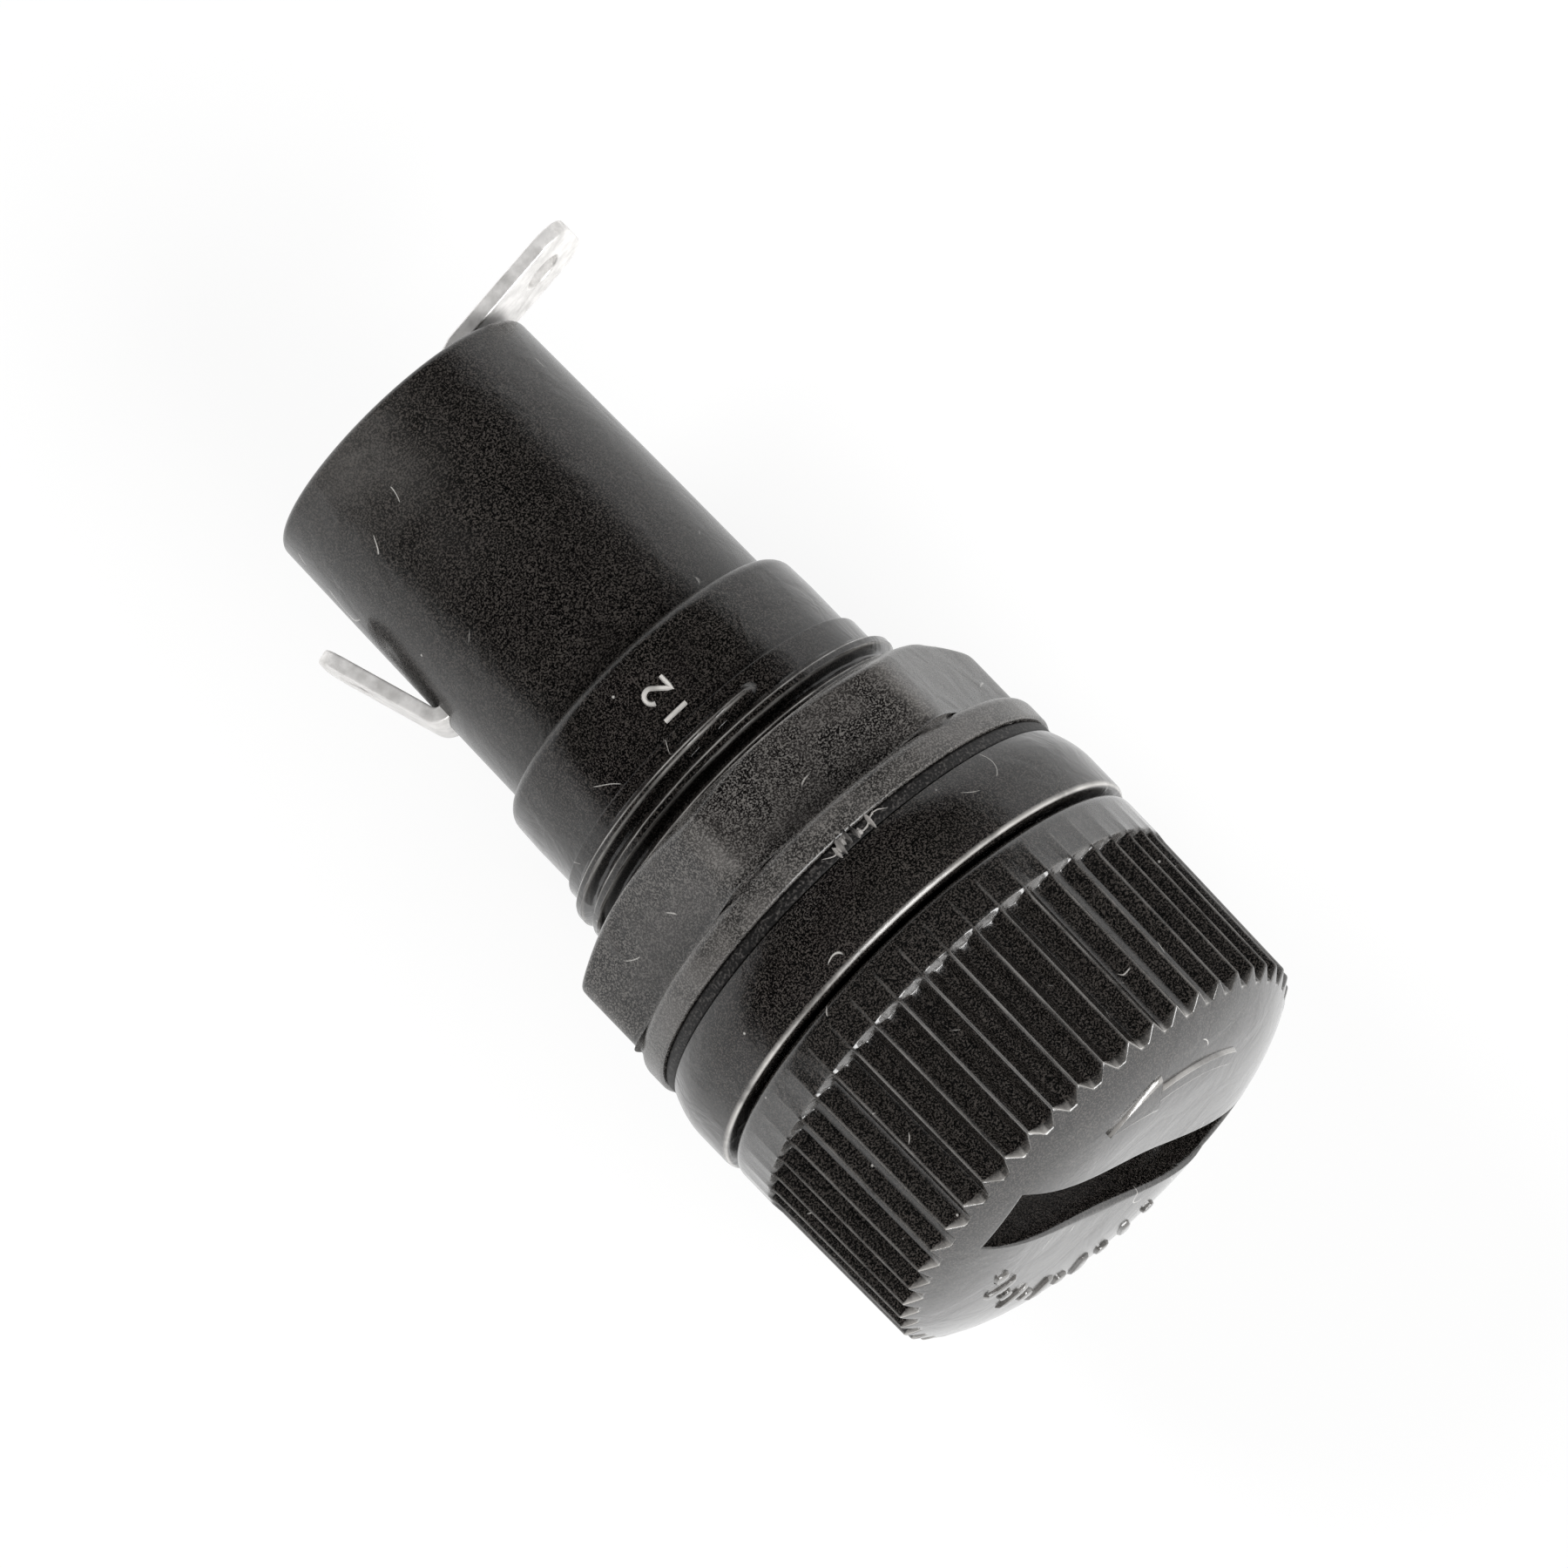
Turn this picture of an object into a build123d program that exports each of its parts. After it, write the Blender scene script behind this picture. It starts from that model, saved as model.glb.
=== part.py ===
"""Panel-mount cartridge fuse holder for a 5 x 20 mm fuse, in millimetres.

The axis of the holder is Y. Y = 0 is the panel seat, the rear face of the body's flange.
The knob is on the -Y side, the barrel and its terminals on the +Y side, and +Z is up.
Stations are distances along Y, radii are distances from the Y axis.
"""
from build123d import *
from math import cos, pi, radians, sin, tan
import os

os.makedirs("parts", exist_ok=True)

# ---------------------------------------------------------------- driving sizes
# clearances
SEAT_GAP = 0.02          # between two pieces assembled tight
RUN_GAP = 0.06           # radial gap between pieces that turn or slide in each other

# moulded body
FLANGE_RADIUS = 8.3
FLANGE_THICK = 2.65
FLANGE_SEAT_DROP = 0.3   # how much smaller the flange is where it meets the gasket
FLANGE_SHOULDER = 1.25   # length of the curved shoulder behind the flange's rim
RIM_ROUND = 0.3
THREAD_DEPTH = 0.32
THREAD_PITCH = 0.75
THREAD_TURNS = 9
NECK_STEP = 0.15         # from the collar up to the thread's root
COLLAR_STEP = 0.73       # from the barrel up to the collar
COLLAR_LENGTH = 3.2
BARREL_WALL = 0.85       # plastic round the contact sleeve
BARREL_DRAFT = 0.18      # how much smaller the barrel's radius is at its rear end
BORE_STEP = 0.55         # from the contact sleeve's seat down to the rear contact's bore
REAR_WALL = 1.0
REAR_ROOM = 5.2          # from the fuse's rear end to the rear wall

# panel gasket and nut
GASKET_RADIUS = 8.0
GASKET_THICK = 0.52
NUT_FLATS = 14.3
NUT_LENGTH = 4.2
NUT_FLANGE_RADIUS = 8.1
NUT_FLANGE_THICK = 0.8
NUT_CORNER_ANGLE = 45.0  # first corner of the hexagon, from +X towards +Z
NUT_CHAMFER = 0.45       # how far the corners are cut back at the rear

# knob
KNOB_GAP = 0.18          # between flange and knob
KNOB_REAR_RADIUS = 8.18
KNOB_FRONT_RADIUS = 8.07
KNOB_SKIRT = 1.5         # smooth band at the rear of the grip
KNOB_GRIP = 5.92         # length of the grooved grip
GROOVES = 48
GROOVE_DEPTH = 0.45
DOME_HEIGHT = 1.3
DOME_FLAT_RADIUS = 3.4
KNOB_WALL = 1.15
KNOB_FRONT_WALL = 1.35   # material left under the coin slot
SLOT_WIDTH = 2.4
SLOT_LENGTH = 12.8
SLOT_DEPTH = 1.6
SLOT_ANGLE = -57.0       # from +X towards +Z
STEM_RADIUS = 4.72
STEM_END = 0.2           # station of the stem's rear end
LUG_WIDTH = 2.0
LUG_LENGTH = 0.8

# knob seal, an O-ring in a groove of the stem
SEAL_CORD = 0.76
SEAL_STATION = -1.6

# fuse
FUSE_LENGTH = 20.0
FUSE_CAP_RADIUS = 2.6
FUSE_CAP_LENGTH = 5.0
FUSE_CAP_WALL = 0.14
FUSE_CAP_END = 0.3
FUSE_GLASS_WALL = 0.4
FUSE_WIRE_RADIUS = 0.1
SOLDER_RADIUS = 1.2
SOLDER_THICK = 0.5
FUSE_FRONT = -5.0        # station of the fuse's front end

# clip that holds the fuse in the knob
CLIP_SHEET = 0.3
CLIP_LENGTH = 8.1
CLIP_SLITS = 4
CLIP_SLIT_WIDTH = 0.6
CLIP_SLIT_LENGTH = 5.6
SCREW_HEAD_RADIUS = 1.3
SCREW_HEAD_THICK = 0.5
SCREW_RADIUS = 0.6
SCREW_LENGTH = 2.4

# contact sleeve in the body
SLEEVE_ROOM = 1.31       # from the clip out to the sleeve's outer face
SLEEVE_SHEET = 0.33
SLEEVE_START = 0.6
SLEEVE_LENGTH = 4.2
FINGERS = 3
FINGER_WIDTH = 1.8
FINGER_SHEET = 0.3

# terminals, stamped strip
STRIP_THICK = 0.5
STRIP_WIDTH = 2.8
STRIP_BEND = 0.45        # centre-line radius of the strip's bends
SIDE_EXIT = 13.6         # station where the side terminal leaves the barrel
SIDE_GAP = 0.15          # from the barrel to the bend that turns it to the rear
SIDE_LUG_LENGTH = 4.3
SIDE_LUG_ANGLE = 16.5
SIDE_HOLE_RADIUS = 0.6
REAR_TAB_WIDTH = 3.45
REAR_TAB_REACH = 8.1     # from the axis to the tip
REAR_TAB_FOOT = 2.2      # from the axis to the foot's rounded end
REAR_TAB_BEND = 2.5      # from the axis to the step that lifts the tab off the body
REAR_TAB_STEP = 0.22     # height of that step
REAR_TAB_LEAN = 5.2      # lean of the tab beyond the step, in degrees
REAR_HOLE_RADIUS = 0.65
TAB_END_MARGIN = 1.3     # from a wire hole's centre to the strip's end

# rear contact
PLUNGER_SHEET = 0.38
PLUNGER_LENGTH = 2.6
PLUNGER_TRAVEL = 1.5
SEAT_SHEET = 0.3
SEAT_RIM = 0.5
RIVET_RADIUS = 0.9
RIVET_BORE = 0.45
RIVET_HEAD_RADIUS = 1.5
RIVET_HEAD_THICK = 0.3
SPRING_WIRE = 0.4
SPRING_TURNS = 5

# ---------------------------------------------------------------- stations worked out
flange_front = -FLANGE_THICK
thread_end = THREAD_TURNS * THREAD_PITCH + 0.25
collar_end = thread_end + COLLAR_LENGTH
fuse_rear = FUSE_FRONT + FUSE_LENGTH
rear_wall_inside = fuse_rear + REAR_ROOM
barrel_end = rear_wall_inside + REAR_WALL
nut_front = GASKET_THICK
nut_rear = nut_front + NUT_LENGTH
knob_rear = flange_front - KNOB_GAP
grip_rear = knob_rear - KNOB_SKIRT
knob_rim = grip_rear - KNOB_GRIP
knob_top = knob_rim - DOME_HEIGHT
slot_floor = knob_top + SLOT_DEPTH
knob_hollow_end = slot_floor + KNOB_FRONT_WALL
clip_base = FUSE_FRONT - SCREW_HEAD_THICK - 0.1 - CLIP_SHEET
sleeve_end = SLEEVE_START + SLEEVE_LENGTH
seat_face = rear_wall_inside - SEAT_SHEET

# radii worked out
front_bore = STEM_RADIUS + RUN_GAP + 0.12
clip_inside = FUSE_CAP_RADIUS + SEAT_GAP
clip_outside = clip_inside + CLIP_SHEET
sleeve_radius = clip_outside + SLEEVE_ROOM
sleeve_bore = sleeve_radius + SEAT_GAP
barrel_front_radius = sleeve_bore + BARREL_WALL
barrel_rear_radius = barrel_front_radius - BARREL_DRAFT
collar_radius = barrel_front_radius + COLLAR_STEP
thread_radius = collar_radius + NECK_STEP + THREAD_DEPTH
bore_radius = sleeve_bore - BORE_STEP
side_standoff = barrel_front_radius + SIDE_GAP
stem_bore = clip_outside + 0.38
glass_radius = FUSE_CAP_RADIUS - FUSE_CAP_WALL - SEAT_GAP
glass_bore = glass_radius - FUSE_GLASS_WALL
plunger_radius = bore_radius - RUN_GAP
rivet_hole = RIVET_RADIUS + SEAT_GAP
strip_outside = sleeve_bore
strip_inside = strip_outside - STRIP_THICK


# ---------------------------------------------------------------- shared shapes
def turned(*outline):
    """A solid of revolution about Y. The outline is (radius, station) points or ready-made edges."""
    edges = []
    run = []
    for item in outline:
        if isinstance(item, tuple):
            run.append(item)
            continue
        run.append(item @ 0)
        edges.append(Polyline(*run))
        edges.append(item)
        run = [item @ 1]
    first = edges[0] @ 0 if edges else run[0]
    edges.append(Polyline(*run, first))
    return revolve(make_face(edges), Axis.Y)


def ring(outer, inner, start, end):
    """A plain tube about Y between two stations."""
    return turned((inner, start), (outer, start), (outer, end), (inner, end))


def disc(radius, start, end):
    """A plain disc about Y between two stations."""
    return turned((0, start), (radius, start), (radius, end), (0, end))


def prism(sketch, start, end):
    """A sketch drawn in X and Z, extruded along Y from one station to another."""
    return extrude(Plane.XZ.offset(-end) * sketch, amount=end - start)


def around(shape, count, first=0.0):
    """Copies of a shape, evenly spaced about Y."""
    return [Rot(0, first + i * 360 / count, 0) * shape for i in range(count)]


def round_rim(solid, radius, station, amount):
    """Rounds the circular edge of that radius at that station."""
    rims = [
        e
        for e in solid.edges().filter_by(GeomType.CIRCLE)
        if abs(e.radius - radius) < 0.01 and abs(e.center().Y - station) < 0.01
    ]
    return fillet(rims, amount)


def save(node, *solids):
    """Writes one node's STEP file."""
    shape = solids[0] if len(solids) == 1 else Compound(children=list(solids))
    if isinstance(shape, (Part, Compound)) and len(shape.solids()) == 1:
        shape = shape.solids()[0]
    shape.label = node
    export_step(shape, f"parts/{node}.step")
    box = shape.bounding_box()
    print(f"{node:18} {shape.volume:9.2f} mm3  y {box.min.Y:7.2f} .. {box.max.Y:6.2f}")


# ---------------------------------------------------------------- moulded body
def thread_outline():
    """Ridges of the panel thread, front to rear, drawn as rings of the thread's own section."""
    root = thread_radius - THREAD_DEPTH
    points = []
    for turn in range(THREAD_TURNS):
        start = thread_end - THREAD_PITCH * (THREAD_TURNS - turn)
        points.append((root, start))
        points.append((thread_radius, start + 0.34 * THREAD_PITCH))
        points.append((thread_radius, start + 0.56 * THREAD_PITCH))
        points.append((root, start + 0.9 * THREAD_PITCH))
    return [(root, 0.0)] + points + [(root, thread_end)]


def make_body():
    """Flange, threaded neck, collar and barrel in one moulding, with the stepped bore inside."""
    shoulder = TangentArc(
        (FLANGE_RADIUS, -FLANGE_SHOULDER),
        (FLANGE_RADIUS - FLANGE_SEAT_DROP, 0),
        tangent=(0, 1),
    )
    body = turned(
        (front_bore, flange_front),
        (FLANGE_RADIUS, flange_front),
        shoulder,
        *thread_outline(),
        (collar_radius, thread_end),
        (collar_radius, collar_end),
        (barrel_front_radius, collar_end),
        (barrel_rear_radius, barrel_end),
        (rivet_hole, barrel_end),
        (rivet_hole, rear_wall_inside),
        (bore_radius, rear_wall_inside),
        (bore_radius, sleeve_end),
        (sleeve_bore, sleeve_end),
        (sleeve_bore, SLEEVE_START - SEAT_GAP),
        (front_bore, SLEEVE_START - SEAT_GAP),
    )
    body = round_rim(body, collar_radius, collar_end, 0.95 * (collar_radius - barrel_front_radius))
    body = round_rim(body, FLANGE_RADIUS, flange_front, RIM_ROUND)
    body = round_rim(body, barrel_rear_radius, barrel_end, 0.25)
    channel_width = STRIP_WIDTH + 2 * SEAT_GAP
    channel_end = SIDE_EXIT + STRIP_THICK / 2 + SEAT_GAP
    channel = Pos(-(strip_outside + SEAT_GAP) / 2, (sleeve_end + channel_end) / 2, 0) * Box(
        strip_outside + SEAT_GAP, channel_end - sleeve_end, channel_width
    )
    window = Pos(-barrel_front_radius, SIDE_EXIT, 0) * Box(
        2 * (barrel_front_radius - strip_inside), STRIP_THICK + 2 * SEAT_GAP, channel_width
    )
    bend_relief = Pos(-(strip_outside - 0.2), SIDE_EXIT - STRIP_BEND, 0) * Box(
        2 * (STRIP_BEND + STRIP_THICK / 2), 2 * STRIP_BEND, channel_width
    )
    return body - channel - window - bend_relief


# ---------------------------------------------------------------- panel gasket and nut
def make_gasket():
    """Flat rubber ring between the flange and the nut."""
    return ring(GASKET_RADIUS, thread_radius + 0.1, 0, GASKET_THICK)


def make_nut():
    """Hexagonal moulded nut with a round flange on its front end."""
    corner_radius = NUT_FLATS / 2 / cos(radians(30))
    hexagon = RegularPolygon(corner_radius, 6, rotation=NUT_CORNER_ANGLE)
    blank = prism(hexagon, nut_front, nut_rear)
    cone = turned(
        (0, nut_front),
        (corner_radius + 1, nut_front),
        (corner_radius + 1, nut_rear - NUT_CHAMFER * (corner_radius + 1 - NUT_FLATS / 2)),
        (NUT_FLATS / 2, nut_rear),
        (0, nut_rear),
    )
    flange = disc(NUT_FLANGE_RADIUS, nut_front, nut_front + NUT_FLANGE_THICK)
    hole_radius = thread_radius + RUN_GAP
    bore = disc(hole_radius, nut_front - 1, nut_rear + 1)
    nut = (blank & cone) + flange - bore
    for station in (nut_front, nut_rear):
        rims = [
            e
            for e in nut.edges().filter_by(GeomType.CIRCLE)
            if abs(e.radius - hole_radius) < 0.01 and abs(e.center().Y - station) < 0.01
        ]
        nut = chamfer(rims, 0.25)
    return nut


# ---------------------------------------------------------------- knob
def knob_radius(station):
    """Outer radius of the drafted grip at a station."""
    share = (knob_rear - station) / (KNOB_SKIRT + KNOB_GRIP)
    return KNOB_REAR_RADIUS + (KNOB_FRONT_RADIUS - KNOB_REAR_RADIUS) * share


def groove_cutter():
    """One grip groove: a trapezoid section that runs along the grip and out through the dome."""
    pitch = 2 * pi * KNOB_FRONT_RADIUS / GROOVES
    floor = KNOB_FRONT_RADIUS - GROOVE_DEPTH
    outside = KNOB_REAR_RADIUS + 0.6
    flare = (outside - floor) / GROOVE_DEPTH * pitch / 3
    section = make_face(
        Polyline(
            (floor, -pitch / 6),
            (outside, -pitch / 6 - flare),
            (outside, pitch / 6 + flare),
            (floor, pitch / 6),
            close=True,
        )
    )
    return prism(section, knob_top - 1, grip_rear)


def make_knob():
    """Grip with its domed front, coin slot and hollow rear, and the stem that enters the body."""
    shoulder = TangentArc(
        (DOME_FLAT_RADIUS, knob_top), (KNOB_FRONT_RADIUS, knob_rim), tangent=(1, 0)
    )
    seal_half = SEAL_CORD / 2 + 0.07
    groove_floor = front_bore - SEAT_GAP - SEAL_CORD - SEAT_GAP
    knob = turned(
        (0, knob_top),
        shoulder,
        (KNOB_REAR_RADIUS, knob_rear),
        (KNOB_REAR_RADIUS - KNOB_WALL, knob_rear),
        (KNOB_FRONT_RADIUS - KNOB_WALL, knob_hollow_end),
        (STEM_RADIUS, knob_hollow_end),
        (STEM_RADIUS, SEAL_STATION - seal_half),
        (groove_floor, SEAL_STATION - seal_half),
        (groove_floor, SEAL_STATION + seal_half),
        (STEM_RADIUS, SEAL_STATION + seal_half),
        (STEM_RADIUS, STEM_END),
        (stem_bore, STEM_END),
        (stem_bore, clip_base),
        (SCREW_RADIUS + SEAT_GAP, clip_base),
        (SCREW_RADIUS + SEAT_GAP, clip_base - SCREW_LENGTH),
        (0, clip_base - SCREW_LENGTH),
    )
    knob = round_rim(knob, KNOB_REAR_RADIUS, knob_rear, RIM_ROUND)
    for cutter in around(groove_cutter(), GROOVES):
        knob -= cutter
    slot = Box(SLOT_LENGTH, 2 * SLOT_DEPTH, SLOT_WIDTH)
    knob -= Pos(0, knob_top, 0) * Rot(0, -SLOT_ANGLE, 0) * slot
    lug_radius = front_bore - 0.05
    lug_ring = ring(lug_radius, STEM_RADIUS - 0.2, STEM_END - LUG_LENGTH, STEM_END)
    lug_bar = Pos(0, STEM_END - LUG_LENGTH / 2, 0) * Box(4 * STEM_RADIUS, LUG_LENGTH, LUG_WIDTH)
    return knob + (lug_ring & lug_bar)


def make_seal():
    """O-ring in the stem's groove."""
    mean_radius = front_bore - SEAT_GAP - SEAL_CORD / 2
    return Pos(0, SEAL_STATION, 0) * Rot(90, 0, 0) * Torus(mean_radius, SEAL_CORD / 2)


# ---------------------------------------------------------------- fuse clip and its screw
def make_clip():
    """Drawn cup with sprung fingers that grip the fuse's front cap."""
    clip = turned(
        (SCREW_RADIUS + SEAT_GAP, clip_base),
        (clip_outside, clip_base),
        (clip_outside, clip_base + CLIP_LENGTH),
        (clip_inside, clip_base + CLIP_LENGTH),
        (clip_inside, clip_base + CLIP_SHEET),
        (SCREW_RADIUS + SEAT_GAP, clip_base + CLIP_SHEET),
    )
    slit = Pos(clip_outside, clip_base + CLIP_LENGTH, 0) * Box(
        2 * clip_outside - 1, 2 * CLIP_SLIT_LENGTH, CLIP_SLIT_WIDTH
    )
    for cutter in around(slit, CLIP_SLITS, 45):
        clip -= cutter
    return clip


def make_clip_screw():
    """Self-tapping pan-head screw that holds the clip to the stem's floor."""
    head_start = clip_base + CLIP_SHEET
    head = disc(SCREW_HEAD_RADIUS, head_start, head_start + SCREW_HEAD_THICK)
    head = round_rim(head, SCREW_HEAD_RADIUS, head_start + SCREW_HEAD_THICK, 0.25)
    shank = disc(SCREW_RADIUS, clip_base - SCREW_LENGTH + 0.1, head_start)
    cross = Box(1.5, 0.5, 0.28) + Box(0.28, 0.5, 1.5)
    return head + shank - Pos(0, head_start + SCREW_HEAD_THICK, 0) * cross


# ---------------------------------------------------------------- fuse
def make_fuse_cap(end, inward):
    """Drawn metal cap. end is the fuse's end station and inward is +1 or -1 along Y."""
    inside = FUSE_CAP_RADIUS - FUSE_CAP_WALL
    cap = turned(
        (0, end),
        (FUSE_CAP_RADIUS, end),
        (FUSE_CAP_RADIUS, end + inward * FUSE_CAP_LENGTH),
        (inside, end + inward * FUSE_CAP_LENGTH),
        (inside, end + inward * FUSE_CAP_END),
        (0, end + inward * FUSE_CAP_END),
    )
    return round_rim(cap, FUSE_CAP_RADIUS, end, 0.2)


def make_fuse_glass():
    """Glass tube between the two caps' ends."""
    return ring(glass_radius, glass_bore, FUSE_FRONT + FUSE_CAP_END, fuse_rear - FUSE_CAP_END)


def make_solder(end, inward):
    """Solder that holds the wire inside a cap."""
    start = end + inward * FUSE_CAP_END
    return turned(
        (0, start),
        (SOLDER_RADIUS, start),
        (0.4 * SOLDER_RADIUS, start + inward * SOLDER_THICK),
        (0, start + inward * SOLDER_THICK),
    )


def make_fuse_wire():
    """Fusible wire, stretched from solder to solder."""
    margin = FUSE_CAP_END + SOLDER_THICK
    return disc(FUSE_WIRE_RADIUS, FUSE_FRONT + margin, fuse_rear - margin)


# ---------------------------------------------------------------- contacts in the body
def make_sleeve():
    """Rolled contact sleeve whose fingers lean inwards onto the clip."""
    inside = sleeve_radius - SLEEVE_SHEET
    sleeve = ring(sleeve_radius, inside, SLEEVE_START, sleeve_end)
    tip = clip_outside + RUN_GAP
    finger = make_face(
        Polyline(
            (inside + 0.05, sleeve_end),
            (tip + FINGER_SHEET, SLEEVE_START + 0.6),
            (tip, SLEEVE_START + 0.6),
            (inside + 0.05 - FINGER_SHEET, sleeve_end),
            close=True,
        )
    )
    finger = extrude(finger, amount=FINGER_WIDTH / 2, both=True)
    for copy in around(finger, FINGERS):
        sleeve += copy
    return sleeve


def strip_end_round(width):
    """Corner radius of a terminal's end."""
    return 0.3 * width


def make_side_terminal():
    """Strip from the contact sleeve along the bore, out through the wall and back as a solder lug."""
    centre = strip_outside - STRIP_THICK / 2
    lean = radians(SIDE_LUG_ANGLE)
    tip = (
        -side_standoff - SIDE_LUG_LENGTH * sin(lean),
        SIDE_EXIT + SIDE_LUG_LENGTH * cos(lean),
    )
    path = FilletPolyline(
        (-centre, sleeve_end),
        (-centre, SIDE_EXIT),
        (-side_standoff, SIDE_EXIT),
        tip,
        radius=STRIP_BEND,
    )
    strip = extrude(trace(path, line_width=STRIP_THICK), amount=STRIP_WIDTH / 2, both=True)
    corner_cut = strip_end_round(STRIP_WIDTH)
    lug_frame = Pos(tip[0], tip[1], 0) * Rot(0, 0, SIDE_LUG_ANGLE)
    for side in (-1, 1):
        square = Pos(0, -corner_cut / 2, side * (STRIP_WIDTH - corner_cut) / 2) * Box(
            3 * STRIP_THICK, corner_cut, corner_cut
        )
        round_corner = Pos(0, -corner_cut, side * (STRIP_WIDTH / 2 - corner_cut)) * Rot(
            0, 90, 0
        ) * Cylinder(corner_cut, 4 * STRIP_THICK)
        strip -= lug_frame * (square - round_corner)
    hole = Pos(0, -TAB_END_MARGIN, 0) * Rot(0, 90, 0) * Cylinder(SIDE_HOLE_RADIUS, 4 * STRIP_THICK)
    return strip - lug_frame * hole


def make_rear_terminal():
    """Tab riveted to the rear wall, stepped clear of it, with a rounded foot and tip."""
    middle = barrel_end + STRIP_THICK / 2
    step_end = REAR_TAB_BEND + 3 * REAR_TAB_STEP
    rise = (REAR_TAB_REACH - step_end) * tan(radians(REAR_TAB_LEAN))
    path = FilletPolyline(
        (-REAR_TAB_FOOT, middle),
        (REAR_TAB_BEND, middle),
        (step_end, middle + REAR_TAB_STEP),
        (REAR_TAB_REACH, middle + REAR_TAB_STEP + rise),
        radius=STRIP_BEND,
    )
    blank = extrude(trace(path, line_width=STRIP_THICK), amount=REAR_TAB_FOOT, both=True)
    tip_round = strip_end_round(REAR_TAB_WIDTH)
    outline = Circle(REAR_TAB_FOOT) + Pos(REAR_TAB_REACH / 2, 0) * Rectangle(
        REAR_TAB_REACH, REAR_TAB_WIDTH
    )
    corners = outline.vertices().filter_by(lambda v: v.X > REAR_TAB_REACH - 0.01)
    outline = fillet(corners, tip_round)
    outline -= Circle(rivet_hole)
    outline -= Pos(REAR_TAB_REACH - TAB_END_MARGIN - 0.2, 0) * Circle(REAR_HOLE_RADIUS)
    return blank & prism(outline, barrel_end - 1, barrel_end + 2)


def make_seat():
    """Cupped washer that the rear spring stands on, inside the rear wall."""
    outside = bore_radius - 2 * RUN_GAP
    return turned(
        (rivet_hole, seat_face),
        (outside - SEAT_SHEET, seat_face),
        (outside - SEAT_SHEET, seat_face - SEAT_RIM),
        (outside, seat_face - SEAT_RIM),
        (outside, rear_wall_inside),
        (rivet_hole, rear_wall_inside),
    )


def make_rear_rivet():
    """Tubular rivet through washer, rear wall and rear terminal, headed over at both ends."""
    outer_face = barrel_end + STRIP_THICK
    rivet = turned(
        (RIVET_BORE, seat_face - RIVET_HEAD_THICK),
        (RIVET_HEAD_RADIUS, seat_face - RIVET_HEAD_THICK),
        (RIVET_HEAD_RADIUS, seat_face),
        (RIVET_RADIUS, seat_face),
        (RIVET_RADIUS, outer_face),
        (RIVET_HEAD_RADIUS, outer_face),
        (RIVET_HEAD_RADIUS, outer_face + RIVET_HEAD_THICK),
        (RIVET_BORE, outer_face + RIVET_HEAD_THICK),
    )
    return round_rim(rivet, RIVET_HEAD_RADIUS, outer_face + RIVET_HEAD_THICK, 0.2)


def make_plunger():
    """Drawn cup that presses on the fuse's rear cap."""
    inside = plunger_radius - PLUNGER_SHEET
    cup = turned(
        (0, fuse_rear),
        (plunger_radius, fuse_rear),
        (plunger_radius, fuse_rear + PLUNGER_LENGTH),
        (inside, fuse_rear + PLUNGER_LENGTH),
        (inside, fuse_rear + PLUNGER_SHEET),
        (0, fuse_rear + PLUNGER_SHEET),
    )
    return round_rim(cup, plunger_radius, fuse_rear, 0.25)


def make_spring():
    """Compression spring between the cup and the washer."""
    start = fuse_rear + PLUNGER_SHEET + SPRING_WIRE / 2
    end = seat_face - SPRING_WIRE / 2
    mean_radius = plunger_radius - PLUNGER_SHEET - SPRING_WIRE / 2 - 0.12
    height = end - start
    coil = Helix(pitch=height / SPRING_TURNS, height=height, radius=mean_radius)
    section = Plane(origin=coil @ 0, z_dir=coil % 0) * Circle(SPRING_WIRE / 2)
    wire = sweep(section, path=coil, is_frenet=True)
    return Pos(0, start, 0) * Rot(-90, 0, 0) * wire


# ---------------------------------------------------------------- write every node
save("holder_body", make_body())
save("panel_gasket", make_gasket())
save("panel_nut", make_nut())
save("knob", make_knob())
save("knob_seal", make_seal())
save("fuse_clip", make_clip())
save("clip_screw", make_clip_screw())
save("fuse_cap_front", make_fuse_cap(FUSE_FRONT, 1))
save("fuse_cap_rear", make_fuse_cap(fuse_rear, -1))
save("fuse_glass", make_fuse_glass())
save("solder_front", make_solder(FUSE_FRONT, 1))
save("solder_rear", make_solder(fuse_rear, -1))
save("fuse_wire", make_fuse_wire())
save("contact_sleeve", make_sleeve())
save("side_terminal", make_side_terminal())
save("rear_terminal", make_rear_terminal())
save("spring_seat", make_seat())
save("rear_rivet", make_rear_rivet())
save("rear_contact", make_plunger())
save("rear_spring", make_spring())
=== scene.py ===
"""A panel-mount cartridge fuse holder, dressed for rendering. Lengths are millimetres, unless a comment
says metres."""

import bmesh
import bpy
import numpy as np
from mathutils import Matrix, Vector


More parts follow.
